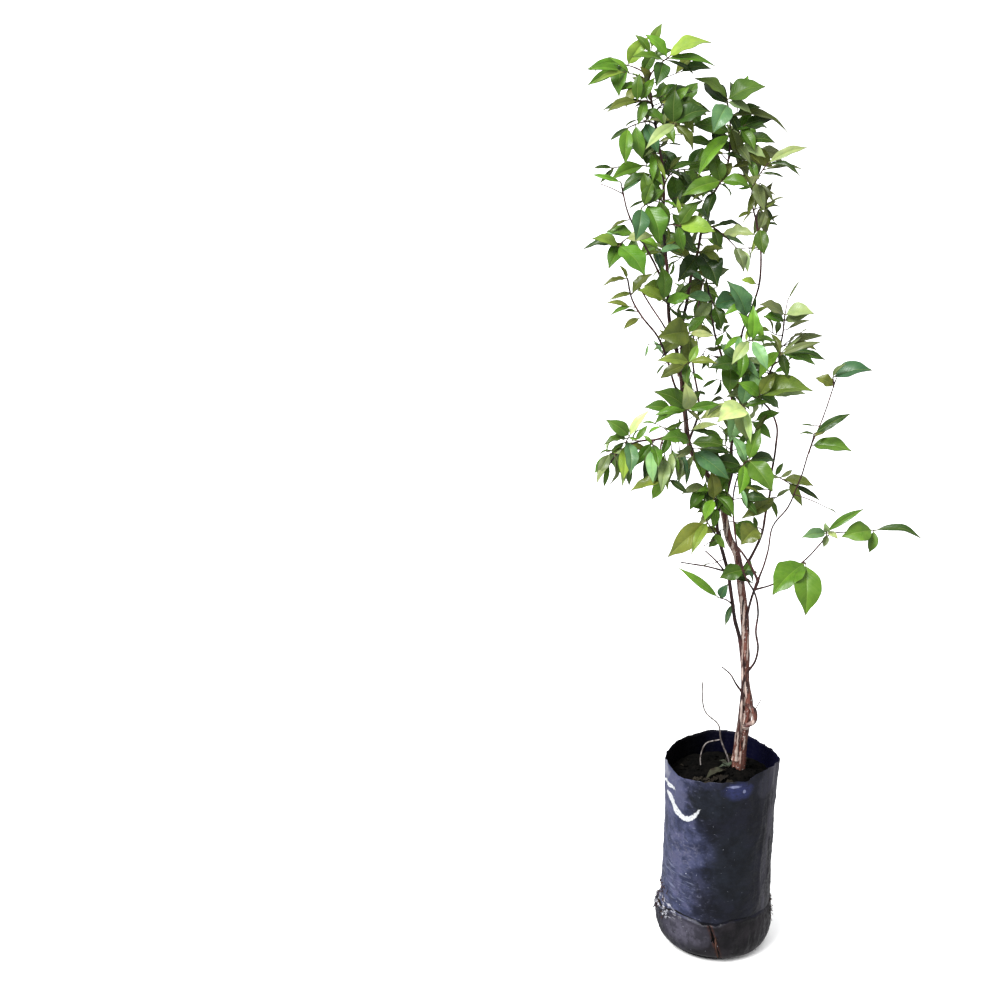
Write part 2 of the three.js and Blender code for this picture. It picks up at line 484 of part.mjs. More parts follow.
// A leaf's pose: its base, the way it points, its face, its length and its half breadth.
function leafPose(base, lean, toward, length, breadth, roll) {
  const flat = Math.cos(radians(toward));
  const along = viewRight.clone().multiplyScalar(Math.cos(radians(lean)) * flat)
    .addScaledVector(viewUp, Math.sin(radians(lean)) * flat)
    .addScaledVector(viewBack, Math.sin(radians(toward)));
  const sky = vec(0, 0, FACE_UP).addScaledVector(viewBack, FACE_FRONT);
  const face = sky.addScaledVector(along, -sky.dot(along)).normalize();
  const side = along.clone().cross(face);
  const lit = face.clone().multiplyScalar(Math.cos(radians(roll))).addScaledVector(side, Math.sin(radians(roll)));
  return { base, along, face: lit, side: along.clone().cross(lit), length, half: length * LEAF_BREADTH * breadth * 0.5 };
}

// A point of a leaf's upper face: share along the leaf, and across from -1 to 1.
function leafPoint(pose, share, across, width) {
  const rise = BLADE_ARCH * pose.length * 4 * share * (1 - share) + Math.abs(across) * width * BLADE_FOLD;
  return pose.base.clone()
    .addScaledVector(pose.along, share * pose.length)
    .addScaledVector(pose.face, rise)
    .addScaledVector(pose.side, across * width);
}

// The half width of a leaf at three places from its root to near its tip.
function leafWidths(pose) {
  return [[0, PETIOLE_WIDTH / 2], [0.34, pose.half], [0.66, pose.half * 0.8]];
}

// A leaf is flat above and has its rib below, and tapers to a point.
function leafGeometry(pose) {
  const corners = [];
  const triangles = [];
  leafWidths(pose).forEach(([share, width], n) => {
    const rib = leafPoint(pose, share, 0, width);
    corners.push(
      leafPoint(pose, share, -1, width),
      leafPoint(pose, share, 1, width),
      rib.addScaledVector(pose.face, -RIB_THICKNESS),
    );
    if (n > 0) triangles.push(...skin((n - 1) * 3, n * 3, 3));
  });
  const last = corners.length - 3;
  corners.push(leafPoint(pose, 1, 0, 0));
  for (let i = 0; i < 3; i += 1) {
    triangles.push([last + i, last + ((i + 1) % 3), last + 3]);
  }
  triangles.push([0, 2, 1]);
  return closedGeometry(corners, triangles);
}

// Test points spread over a leaf.
function leafTestPoints(pose) {
  const points = [];
  [0.2, 0.34, 0.48, 0.62, 0.76, 0.9, 1].forEach((share) => {
    const width = pose.half * Math.min(share / 0.36, 1, (1 - share) / 0.4);
    [-0.85, 0, 0.85].forEach((across) => points.push(leafPoint(pose, share, across, Math.max(width, 0))));
  });
  return points;
}

// Points along a stem or twig, a few millimetres apart, each with its radius.
function routePoints(points) {
  const found = [];
  points.slice(1).forEach((b, n) => {
    const a = points[n];
    const length = vec(...a).distanceTo(vec(...b));
    const steps = Math.max(Math.ceil(length / 3), 1);
    for (let i = 0; i < steps; i += 1) {
      const t = i / steps;
      found.push([a[0] + (b[0] - a[0]) * t, a[1] + (b[1] - a[1]) * t, a[2] + (b[2] - a[2]) * t, a[3] + (b[3] - a[3]) * t]);
    }
  });
  found.push(points[points.length - 1]);
  return found;
}

// The sizes, then the turns toward the observer and the rolls, that a leaf tries until it is clear of its neighbours.
const LEAF_SIZES = [1, 0.82, 0.66];
const TRIES = [
  [0, 0], [12, 10], [-12, -10], [24, 0], [-24, 0], [0, 35], [0, -35], [36, 20], [-36, -20], [48, 0], [-48, 0],
  [24, 50], [-24, -50], [60, 20], [-60, -20],
];

function farFrom(point, x, y, z, room) {
  return Math.hypot(point.x - x, point.y - y, point.z - z) > room;
}

// The room that a leaf's test point needs from another leaf: less on its own shoot, and least near its root.
function roomNeeded(sameShoot, testPoint) {
  if (!sameShoot) return LEAF_ROOM;
  return testPoint < NEAR_LEAVES ? LEAF_ROOT_ROOM : SHOOT_LEAF_ROOM;
}

function placeLeaves() {
  const random = seededRandom(LEAF_SEED);
  const woodPoints = Object.values(stems).flatMap(routePoints);
  const twigs = {};
  const twigPoints = [];
  Object.entries(shoots).forEach(([name, [stem, share, tip]]) => {
    twigs[name] = twigRoute(stem, share, tip);
    routePoints(twigs[name]).forEach((point) => twigPoints.push([...point, name]));
  });
  const taken = [];
  const placed = {};
  Object.entries(shoots).forEach(([name, [, , , leaves]]) => {
    placed[name] = [];
    leaves.forEach(([share, lean, toward, length, breadth = 1], number) => {
      const place = Math.max(Math.min(share, LEAF_LAST) - number * LEAF_STEP, LEAF_FIRST);
      const base = pointAlong(twigs[name], place).point;
      const roll = (random() * 2 - 1) * LEAF_ROLL;
      const isClear = (pose) => leafTestPoints(pose).every((p, k) => (
        woodPoints.every(([x, y, z, r]) => farFrom(p, x, y, z, r + STEM_ROOM))
        && twigPoints.every(([x, y, z, r, owner]) => (owner === name && k < NEAR_TWIG) || farFrom(p, x, y, z, r + TWIG_ROOM))
        && taken.every(([x, y, z, owner]) => farFrom(p, x, y, z, roomNeeded(owner === name, k)))
      ));
      let chosen = null;
      LEAF_SIZES.some((shrink) => TRIES.some(([more, turned]) => {
        const pose = leafPose(base, lean, toward + more, length * shrink, breadth, roll + turned);
        if (isClear(pose)) chosen = pose;
        return chosen !== null;
      }));
      if (chosen) {
        placed[name].push(chosen);
        leafTestPoints(chosen).forEach((p) => taken.push([p.x, p.y, p.z, name]));
      }
    });
  });
  return { twigs, placed };
}

// The bag's outline from the middle of its flat bottom to the rim, [radius, height].
const halfBag = BAG_DIAMETER / 2;
const bagProfile = [
  [FLAT_BOTTOM_RADIUS, 0], [halfBag - 4, 5], [halfBag + 1.2, 19], [halfBag + 0.8, BAND_HEIGHT - 14],
  [halfBag - 1.2, BAND_HEIGHT],
  [halfBag - 0.2, SOIL_TOP], [halfBag + 0.2, BAG_HEIGHT],
];

// The outline moved in by a distance, square to itself.
function insetProfile(profile, distance) {
  return profile.map(([r, z], n) => {
    const before = profile[Math.max(n - 1, 0)];
    const after = profile[Math.min(n + 1, profile.length - 1)];
    const slope = n === 0 ? [1, 0] : [after[0] - before[0], after[1] - before[1]];
    const size = Math.hypot(...slope);
    return [r - (distance * slope[1]) / size, z + (distance * slope[0]) / size];
  });
}

// The soft dents of the film at a height, as a change of radius.
function dent(angle, z) {
  const high = (z / BAG_HEIGHT) ** 3;
  const rim = Math.cos(3 * angle + 0.6) * 0.6 + Math.cos(5 * angle + 2.1) * 0.4;
  const wall = Math.cos(2 * angle + z * 0.02) + 0.5 * Math.cos(4 * angle + 1.3 - z * 0.03);
  const lift = Math.min(z / 40, 1);
  return rim * RIM_DENT * high + wall * WALL_DENT * lift;
}

function ringCorners([radius, z]) {
  const corners = [];
  for (let i = 0; i < BAG_SIDES; i += 1) {
    const angle = (i / BAG_SIDES) * Math.PI * 2;
    const r = radius + dent(angle, z);
    corners.push(vec(Math.cos(angle) * r, Math.sin(angle) * r, z));
  }
  return corners;
}

// A closed solid through rings from its lower middle to its upper middle.
function turnedGeometry(rings, lowMiddle, highMiddle, falling = false) {
  const corners = rings.flat();
  const triangles = [];
  const count = BAG_SIDES;
  rings.slice(1).forEach((ring, n) => triangles.push(...skin(n * count, (n + 1) * count, count, falling)));
  const low = corners.length;
  corners.push(lowMiddle, highMiddle);
  const last = (rings.length - 1) * count;
  for (let i = 0; i < count; i += 1) {
    const j = (i + 1) % count;
    triangles.push([low, j, i], [low + 1, last + i, last + j]);
  }
  return closedGeometry(corners, triangles);
}

function bagGeometry() {
  const outer = bagProfile.map(ringCorners);
  const inner = insetProfile(bagProfile, BAG_WALL).map((point, n) => (
    n === bagProfile.length - 1 ? ringCorners([halfBag + 0.2 - BAG_WALL, BAG_HEIGHT]) : ringCorners(point)
  ));
  return turnedGeometry([...outer, ...inner.reverse()], vec(0, 0, 0), vec(0, 0, BAG_WALL));
}

// How far the soil is heaped up round the trunk at a spot on its top.
function soilHeap(x, y) {
  return HEAP_HEIGHT * Math.exp(-((x - HEAP_X) ** 2 + (y - HEAP_Y) ** 2) / HEAP_WIDTH ** 2);
}

function soilGeometry() {
  const random = seededRandom(7);
  const belowRim = insetProfile(bagProfile, BAG_WALL + JOINT_GAP).slice(0, -2);
  const side = belowRim.map(ringCorners);
  const edge = halfBag - 0.2 - BAG_WALL - JOINT_GAP;
  const top = [1, 0.72, 0.46, 0.24].map((share, n) => {
    const ring = ringCorners([edge, SOIL_TOP]);
    const settle = n === 0 ? -1.5 : 0;
    return ring.map((p) => {
      const heap = soilHeap(p.x * share, p.y * share);
      return vec(p.x * share, p.y * share, SOIL_TOP + heap + settle + (random() * 2 - 1) * SOIL_BUMP * share);
    });
  });
  const middle = vec(0, 0, SOIL_TOP + soilHeap(0, 0));
  return turnedGeometry([...side, ...top], vec(0, 0, BAG_WALL + JOINT_GAP), middle, true);
}

// The wood, with each stem fused to the one that it grows from.
function stemSides(name) {
  if (thickStems.includes(name)) return 8;
  return middlingStems.includes(name) ? 5 : 4;
}
const wood = unite(Object.entries(stems).map(([name, points]) => toSolid(stemGeometry(points, stemSides(name)))));
const woodRoom = unite(Object.entries(stems).map(([name, points]) => (
  toSolid(stemGeometry(points, stemSides(name), JOINT_GAP))
)));

// The soil has plain holes for the trunk, the dry stalk and the root.
const stalk = unite([dryStalk, dryStalkArc].map((points) => toSolid(stemGeometry(points, STALK_SIDES))));
const stalkRoom = unite([dryStalk, dryStalkArc].map((points) => (
  toSolid(stemGeometry(points, STALK_SIDES, JOINT_GAP))
)));
const root = toSolid(stemGeometry(escapedRoot, ROOT_SIDES));
const rootRoom = toSolid(stemGeometry(escapedRoot, ROOT_SIDES, JOINT_GAP));
const trunkRoom = toSolid(stemGeometry([[19, 5, 159.7, 7], ...stems.trunk.slice(1)], 8, JOINT_GAP));
const bag = toSolid(bagGeometry()).subtract(rootRoom);
const soil = largestBody(toSolid(soilGeometry()).subtract(trunkRoom).subtract(stalkRoom).subtract(rootRoom));
const soilSurface = toSolid(soilGeometry().translate(0, 0, JOINT_GAP));

const { twigs, placed } = placeLeaves();

const object = new THREE.Group();
function addPiece(name, geometry, color, roughness) {
  geometry.computeVertexNormals();
  const mesh = new THREE.Mesh(geometry, new THREE.MeshStandardMaterial({ color, roughness, metalness: 0 }));
  mesh.name = name;
  object.add(mesh);
}

addPiece('grow_bag', toGeometry(bag), 0x1b2030, 0.35);
addPiece('soil', toGeometry(soil), 0x2a211a, 0.95);
addPiece('trunk_and_branches', toGeometry(wood), 0x5b3a2c, 0.75);
addPiece('dry_stalk', toGeometry(stalk), 0x6b5340, 0.85);
addPiece('escaped_root', toGeometry(root), 0x6e4028, 0.85);

const fallenReach = vec(Math.cos(radians(fallenLeaf.heading)), Math.sin(radians(fallenLeaf.heading)), 0)
  .multiplyScalar(fallenLeaf.length);
const fallenBase = vec(fallenLeaf.x, fallenLeaf.y, SOIL_TOP + soilHeap(fallenLeaf.x, fallenLeaf.y) + 1);
const fallenTip = fallenBase.clone().add(fallenReach).setZ(
  SOIL_TOP + soilHeap(fallenBase.x + fallenReach.x, fallenBase.y + fallenReach.y) + 1
);
const fallenAlong = fallenTip.clone().sub(fallenBase).normalize();
const fallenSide = fallenAlong.clone().cross(vec(0, 0, 1)).normalize();
const fallenPose = {
  base: fallenBase,
  along: fallenAlong,
  face: fallenSide.clone().cross(fallenAlong),
  side: fallenSide,
  length: fallenLeaf.length,
  half: fallenLeaf.length * LEAF_BREADTH * 0.5,
};
const fallen = toSolid(leafGeometry(fallenPose)).subtract(soilSurface).subtract(woodRoom).subtract(stalkRoom);
addPiece('fallen_leaf', toGeometry(largestBody(fallen)), 0x6f6a4a, 0.8);

Object.entries(twigs).forEach(([name, route]) => {
  const pieces = [stemGeometry(route, TWIG_SIDES), ...placed[name].map(leafGeometry)];
  const shoot = largestBody(unite(pieces.map(toSolid)).subtract(woodRoom));
  addPiece(`${name}_shoot`, toGeometry(shoot), 0x4f8a36, 0.5);
});

export default object;
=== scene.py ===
"""A jaboticaba sapling in a black polythene nursery bag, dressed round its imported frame.

Shapes are worked out in millimetres and written to Blender in metres. The front faces -Y.
"""

import itertools
import math

import bpy
import numpy as np
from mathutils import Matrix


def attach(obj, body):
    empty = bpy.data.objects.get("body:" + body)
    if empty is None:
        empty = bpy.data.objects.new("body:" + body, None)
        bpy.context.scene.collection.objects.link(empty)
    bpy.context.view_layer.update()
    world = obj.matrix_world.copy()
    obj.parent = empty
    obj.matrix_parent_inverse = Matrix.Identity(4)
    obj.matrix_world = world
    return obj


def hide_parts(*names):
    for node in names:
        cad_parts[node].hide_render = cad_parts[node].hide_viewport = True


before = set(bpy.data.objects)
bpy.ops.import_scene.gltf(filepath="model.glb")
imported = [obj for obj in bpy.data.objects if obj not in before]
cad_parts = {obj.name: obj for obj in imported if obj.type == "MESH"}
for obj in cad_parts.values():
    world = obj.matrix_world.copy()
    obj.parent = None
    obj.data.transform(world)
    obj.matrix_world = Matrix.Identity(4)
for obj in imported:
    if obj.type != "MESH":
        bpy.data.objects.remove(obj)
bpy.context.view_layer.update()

METRES = 0.001

# The bag, as the frame has it: its size, its bottom and the soft dents of its film.
BAG_HEIGHT = 239
HALF_BAG = 63.5
FLAT_BOTTOM_RADIUS = 46
BAND_HEIGHT = 55
RIM_DENT = 1.7
WALL_DENT = 0.5
SOIL_TOP = 211

# The film's own relief.
FILM_THICKNESS = 0.5
BAG_SIDES = 340
BAG_STEP = 1.4
INSIDE_STEP = 5
BAND_SPREAD = 1.3
LEFT_BULGE = 2.6
LUMP_DEPTH = 0.9
WRINKLE_DEPTH = 0.5
CREASE_DEPTH = 1.4
PLEAT_DEPTH = 1.6
FRONT_LIFT = 3.5

# The height of the bag's rim, and of the fold above its band, each as [radians round from the front, height].
rim_line = [
    [-3.15, 238], [-2.65, 234.5], [-2.2, 236.5], [-1.75, 236], [-1.35, 240], [-0.97, 233.5], [-0.68, 236.5],
    [-0.3, 239.5], [0.15, 240.5], [0.4, 239], [0.58, 244], [0.95, 247], [1.3, 243.5], [1.75, 238],
    [2.25, 234.5], [2.8, 238], [3.15, 238],
]
fold_line = [
    [-3.15, 52], [-1.9, 50], [-1.35, 49], [-0.92, 56], [-0.57, 55], [-0.3, 54], [-0.1, 53.6], [0.17, 58.6],
    [0.57, 59], [1.2, 55], [1.9, 53], [3.15, 52],
]

# The leaves, as the frame places them.
LEAF_BREADTH = 0.46
PETIOLE_WIDTH = 1
BLADE_ARCH = 0.1
LEAF_ROLL = 20
LEAF_SEED = 2663
FACE_UP = 0.55
FACE_FRONT = 0.85
LEAF_STEP = 0.03
LEAF_FIRST = 0.18
LEAF_LAST = 0.98
BLADE_FOLD = 0.04

# Room kept round each leaf, from one test point to the next, and beyond the surface of a stem or twig.
LEAF_ROOM = 5
SHOOT_LEAF_ROOM = 4.2
LEAF_ROOT_ROOM = 1.5
STEM_ROOM = 2.4
TWIG_ROOM = 3
NEAR_LEAVES = 3
NEAR_TWIG = 6

# The twigs that carry the leaves.
TWIG_RADIUS = 1
TWIG_TIP_RADIUS = 0.7
TWIG_PARTS = 2

# The leaf directions are read by an observer who stands in front and looks down a little.
OBSERVER_PITCH = 21.6
OBSERVER_TURN = 7.4
OBSERVER_PLACE = (0, -1.955, 1.319)
OBSERVER_LENS = 69.73
SENSOR_WIDTH = 36

# The studio's light: an even sky, a soft sun from the upper left front, and a light for the floor alone.
SKY_STRENGTH = 0.5
KEY_TOWARD = (-0.55, -0.62, 1.0)
KEY_SPREAD = 28
KEY_STRENGTH = 3.4
FLOOR_STRENGTH = 3.0
FLOOR_TOWARD = (0, 0, 1)
FLOOR_SPREAD = 120

# The floor, the sky's colour, and how near and how far the camera sees.
FLOOR_HALF_WIDTH = 150.0
FLOOR_COLOURS = ((0.93, 0.93, 0.93), (0.96, 0.96, 0.955))
SKY_COLOUR = (0.97, 0.98, 1)
VIEW_DEPTH = (0.05, 500)

# How fine the round parts are: the sides of a ring and the step from one ring to the next.
TRUNK_SIDES = 48
THICK_STEM_SIDES = 20
THIN_STEM_SIDES = 12
THICK_STEM_RADIUS = 2.3
TRUNK_STEP = 1.2
STEM_STEP = 1.8
TWIG_SIDES = 8
SIDE_TWIG_SIDES = 6
FINE_STEP = 1.2
SOIL_SIDES = 180
SOIL_ROWS = 46
SOIL_SIDE_STEP = 8
SHOOT_TWIG_PARTS = 16
SIDE_TWIG_PARTS = 12
STALK_SIDES = 10
STALK_STEP = 1.5
ROOT_SIDES = 12
ROOTLET_SIDES = 6

# The angle past which an edge is sharp: on smooth parts, on the film and the crumbs, and on the soil.
CREASE_ANGLE = 50
ROUGH_CREASE_ANGLE = 60
SOIL_CREASE_ANGLE = 80

# The small things on the soil and on the film: how many there are, and the seed of each kind.
SHOOT_SEED = 1000
CRUMB_COUNT = 190
CRUMB_SEED = 31
LITTER_COUNT = 26
LITTER_SEED = 47
ROOTLET_COUNT = 52
ROOTLET_SEED = 83
SCRAP_COUNT = 22
SCRAP_SEED = 59
SCRAP_ROWS = 5
SCRAP_COLUMNS = 4

# Where the scraps count as lying on the film: below the fold, and far from the tear and the painted
# highlight.
SCRAP_BELOW_FOLD = 6
SCRAP_FAR_OFF = 54

# The soil: the height of its bottom, and how it is heaped round the trunk.
SOIL_BASE = 1.6
HEAP_HEIGHT = 16
HEAP_WIDTH = 20
HEAP_X = 22
HEAP_Y = 2

# The film over the packed soil: the sizes of its lumps, flat facets and crackle, and further depths.
LUMP_SIZE = (17, 17, 15)
FACET_SIZE = (30, 30, 26)
CRACKLE_SIZE = (9, 9, 6)
UPRIGHT_DEPTH = 1.1
CRACKLE_DEPTH = 0.35
FOLD_LIP = 0.9
GATHER_DEPTH = 0.9
TEAR_DEPTH = 2
NICK_DEPTH = 0.5

# Sprouts beside the trunk: [heading, steepness, length], and where they stand.
sprouts = [[150, 0.55, 13], [35, 0.8, 11], [200, 0.25, 12]]
SPROUT_X = 8
SPROUT_Y = 7

# Linear colours of the soil, of the dead leaves and of the thin fibres, the darker of each pair first.
SOIL_COLOURS = ((0.0012, 0.0012, 0.0012), (0.007, 0.006, 0.005))
GRIT_COLOUR = (0.05, 0.045, 0.035)
LITTER_COLOUR = (0.042, 0.036, 0.026)
SPROUT_COLOUR = (0.10, 0.13, 0.085)
FALLEN_COLOUR = (0.06, 0.062, 0.038)
DRY_TWIG_COLOURS = ((0.10, 0.08, 0.075), (0.42, 0.38, 0.36))
ROOT_COLOURS = ((0.02, 0.01, 0.007), (0.11, 0.05, 0.034))

# Soft ovals on the film: [distance round from the front, height, half width, half height, raggedness].
film_patches = {
    "dark_high": [-14, 211, 36, 24, 0.5],
    "dark_middle": [10, 130, 34, 62, 0.5],
    "shine": [13, 228, 22, 13, 0.35],
    "glint_spot": [20, 227, 2.2, 2.6, 0.2],
    "glint_line": [7, 234, 10, 2.2, 0.9],
    "left_sheen": [-80, 222, 24, 16, 0.8],
    "fold_sheen": [-57, 212, 11, 18, 1.3],
    "lit_fold": [50, 226, 14, 16, 0.8],
    "corner_highlight": [-92, 229, 16, 13, 0.7],
    "rubbed": [-48, 140, 20, 22, 0.9],
    "wrinkle_highlight": [-62, 96, 34, 30, 0.6],
    "band_sheen": [-42, 36, 40, 20, 0.8],
    "crease_highlight": [-76, 52, 30, 11, 1.0],
}

# The film's linear colours.
film_tints = {
    "black": (0.008, 0.009, 0.018),
    "lit_left": (0.060, 0.071, 0.15),
    "purple": (0.085, 0.085, 0.16),
    "flecks": (0.19, 0.20, 0.29),
    "dark": (0.009, 0.012, 0.019),
    "mottle_low": (0.55, 0.56, 0.6),
    "mottle_high": (1.45, 1.42, 1.38),
    "edge_sheen_low": (0.022, 0.020, 0.028),
    "edge_sheen_high": (0.135, 0.126, 0.16),
    "shine": (0.04, 0.05, 0.165),
    "glint": (0.42, 0.45, 0.72),
    "sheen": (0.14, 0.145, 0.25),
    "lit_fold": (0.055, 0.055, 0.08),
    "corner_highlight": (0.42, 0.43, 0.52),
    "rubbed": (0.16, 0.16, 0.24),
    "wrinkle_highlight": (0.24, 0.26, 0.38),
    "earth_low": (0.005, 0.004, 0.005),
    "earth_high": (0.026, 0.021, 0.024),
    "band_sheen": (0.15, 0.14, 0.19),
    "fold_line": (0.004, 0.004, 0.005),
    "crease_highlight": (0.66, 0.66, 0.72),
    "stain": (0.075, 0.026, 0.018),
    "gap": (0.006, 0.003, 0.003),
    "specks": (0.55, 0.57, 0.66),
    "hook_highlight": (0.86, 0.88, 0.9),
    "inside_shaded": (0.0012, 0.0012, 0.0024),
    "inside_lit": (0.004, 0.004, 0.019),
}

# The bark's linear colours.
bark_tints = {
    "young_dark": (0.012, 0.005, 0.006),
    "young_light": (0.085, 0.03, 0.024),
    "young_red": (0.16, 0.05, 0.048),
    "old_dark": (0.016, 0.005, 0.004),
    "old_light": (0.27, 0.092, 0.064),
    "old_pale": (0.38, 0.18, 0.14),
    "peeled": (0.93, 0.73, 0.63),
    "glints": (0.95, 0.82, 0.76),
    "fibres": (0.32, 0.19, 0.15),
}

# The linear colours that a leaf's parts take or are multiplied by, and how rough a fresh leaf is.
LEAF_ROUGHNESS = 0.34
leaf_tints = {
    "sunny": (1.5, 1.3, 1.1),
    "shady": (0.62, 0.68, 0.72),
    "vein": (0.42, 0.5, 0.16),
    "vein_light": (1.2, 1.2, 1.1),
    "underside": (0.24, 0.31, 0.15),
    "margin": (0.045, 0.04, 0.01),
    "tip": (0.07, 0.04, 0.015),
    "stalk": (0.16, 0.11, 0.04),
    "dead": (0.022, 0.016, 0.011),
}

# The range that each number of a leaf's habit is drawn from, in the order of the draws.
leaf_habits = {
    "tint": (0.74, 1.79),
    "warm": (0.9, 1.1),
    "arch": (0.75, 1.25),
    "droop": (0.05, 0.19),
    "fold": (0.22, 0.64),
    "wave": (0.05, 0.21),
    "waves": (1.5, 3.5),
    "phase": (0, 1),
    "uneven": (1, 3),
    "swing": (-0.07, 0.07),
    "twist": (-0.45, 0.45),
    "seed": (0, 50),
}

# The bare wood, as the frame has it: each stem's route as points with the stem's radius, [x, y, z, radius].
stems = {
    "trunk": [
      [19, 5, 160, 7], [20, 5, 204, 7.9], [20, 5, 218, 7.6], [21, 4, 249, 7], [25, 3, 284, 5.8],
      [26.5, 3, 303, 5.8], [22.5, 3, 335, 4.4], [20.5, 2, 373, 4.8], [19, 2, 404, 4.6], [12, 3, 453, 4.3],
      [5, 2, 490, 4.1], [-3, 0, 508, 4], [-8, 0, 527, 3.8], [-12, 2, 546, 3.2],
    ],
    "cut_stub": [[25, 1, 307, 2.4], [33.5, -3, 300, 3.1], [34, -4, 288, 3], [23, -3, 279, 2.6]],
    "left_stem": [
      [15.5, 0, 236, 3.2], [17, -3, 265, 3], [19, -3, 296, 2.6], [20, -1, 324, 2.4], [14.5, -2, 381, 2.5],
      [4, -6, 430, 2.4], [-1, -10, 462, 2.4], [-8, -14, 490, 2.3], [-15, -12, 514, 2.2],
      [-17, -6, 530, 2.1], [-15, -1, 548, 2],
    ],
    "knob_stem": [[19, 2, 404, 2.4], [22, -4, 428, 2], [26, -10, 449, 2], [30, -12, 463, 2.6]],
    "crossing_stem": [[30, -12, 463, 2], [22, -16, 482, 1.7], [11, -12, 496, 1.6], [-1, 0, 504, 1.8]],
    "right_long_stem": [
      [30, -12, 463, 2], [35, -16, 482, 1.8], [39, -22, 504, 1.6], [42, -30, 534, 1.5], [57, -40, 562, 1.5],
      [67, -48, 596, 1.4], [71, -52, 614, 1.4], [77, -54, 639, 1.3], [86, -50, 664, 1.2],
      [98, -40, 706, 1.1],
    ],
    "wiry_stem": [
      [22, 2, 343, 1.9], [32, -8, 366, 1.8], [34, -12, 383, 1.7], [31, -14, 402, 1.7], [32, -18, 429, 1.6],
      [27, -22, 453, 1.5], [18, -28, 471, 1.4], [11, -30, 488, 1.4], [6, -26, 507, 1.4], [1, -20, 534, 1.3],
      [-1, -18, 558, 1.2], [1, -22, 580, 1.2], [6, -26, 601, 1.1],
    ],
    "right_stem": [
      [14, 2, 470, 2.2], [25, 14, 488, 1.9], [32, 20, 505, 1.8], [35, 26, 529, 1.7], [38, 28, 549, 1.6],
      [39, 26, 572, 1.6], [42, 22, 607, 1.5], [42, 20, 630, 1.4], [33, 18, 650, 1.4], [22, 14, 662, 1.3],
    ],
    "right_side_stem": [
      [23, 14, 661, 1.3], [30, 18, 687, 1.3], [38, 14, 712, 1.2], [42, 6, 736, 1.1], [43, 0, 756, 1],
    ],
    "mid_stem": [
      [-12, 2, 544, 3], [-7, 8, 561, 2.6], [-4, 12, 575, 2.4], [-5, 16, 603, 2.2], [-4, 20, 630, 2],
      [-7, 22, 657, 1.9], [-13, 22, 679, 1.8], [-20, 24, 704, 1.7], [-28, 26, 727, 1.5],
      [-33, 28, 754, 1.4], [-37, 30, 778, 1.2],
    ],
    "left_main_stem": [
      [-12, 2, 543, 3.2], [-23, -6, 569, 3.1], [-31, -10, 584, 3], [-44, -14, 603, 3], [-51, -16, 623, 2.9],
      [-54, -14, 645, 2.8], [-58, -10, 666, 2.8], [-62, -6, 693, 2.7],
    ],
    "left_leader": [
      [-62, -6, 691, 2.6], [-67, -8, 720, 2.4], [-75, -10, 753, 2.3], [-77, -12, 779, 2.2],
      [-80, -14, 812, 2.1], [-84, -14, 848, 2], [-85, -12, 879, 1.9], [-88, -10, 914, 1.8],
      [-94, -8, 944, 1.7], [-99, -6, 973, 1.5], [-105, -4, 998, 1.3],
    ],
    "right_leader": [
      [-62, -6, 691, 2.4], [-62, 2, 722, 2.2], [-62, 8, 748, 2.1], [-59, 12, 766, 2], [-56, 14, 789, 2],
      [-50, 16, 819, 1.9], [-46, 16, 842, 1.8], [-42, 14, 859, 1.7], [-37, 12, 878, 1.6],
      [-30, 10, 892, 1.5], [-23, 8, 909, 1.4], [-21, 6, 934, 1.3],
    ],
    "far_left_stem": [
      [-57, -11, 662, 1.8], [-67, -22, 685, 1.6], [-75, -32, 715, 1.5], [-86, -40, 744, 1.4],
      [-102, -44, 765, 1.3], [-113, -44, 784, 1.2], [-118, -42, 804, 1.1],
    ],
    "left_inner_stem": [[-66, -8, 716, 1.4], [-81, 10, 739, 1.2], [-95, 18, 757, 1.1], [-108, 22, 776, 1]],
    "left_upper_stem": [
      [-77, -12, 777, 1.6], [-92, -26, 817, 1.4], [-105, -34, 842, 1.3], [-113, -38, 857, 1.2],
      [-120, -40, 873, 1.1], [-125, -38, 892, 1],
    ],
    "back_stem": [
      [-51, -16, 620, 1.8], [-42, 14, 645, 1.6], [-44, 30, 662, 1.5], [-49, 38, 681, 1.4],
      [-52, 46, 704, 1.3], [-49, 54, 735, 1.2], [-46, 58, 765, 1],
    ],
    "right_high_stem": [
      [-7, 22, 655, 1.7], [-2, 10, 700, 1.5], [2, 0, 745, 1.4], [7, -4, 759, 1.4], [11, -8, 776, 1.3],
      [15, -10, 793, 1.3], [16, -12, 812, 1.3], [15, -12, 830, 1.2], [10, -10, 855, 1.2], [4, -8, 877, 1.1],
    ],
    "arching_stem": [
      [-52, -16, 624, 1.7], [-70, -30, 632, 1.5], [-85, -38, 630, 1.4], [-100, -44, 630, 1.3],
      [-111, -48, 627, 1.2], [-123, -50, 618, 1.1], [-134, -50, 600, 1],
    ],
    "low_right_stem": [
      [27, -11, 452, 1.7], [48, -26, 468, 1.5], [70, -38, 493, 1.4], [82, -42, 509, 1.3],
      [92, -44, 523, 1.3], [102, -44, 535, 1.2], [120, -44, 539, 1.1], [142, -42, 542, 1],
    ],
    "bare_twig_low": [[19.5, -0.5, 321, 1.5], [12, -4, 333, 1.3], [5, -8, 347, 1.1], [-4, -12, 357, 0.9]],
    "bare_twig_left": [[-4, -11, 472, 1.3], [-28, -18, 480, 1.1], [-54, -24, 486, 0.9]],
    "bare_twig_upper": [[-2, -10, 466, 1.3], [-17, -16, 487, 1.1], [-28, -20, 499, 0.9]],
}

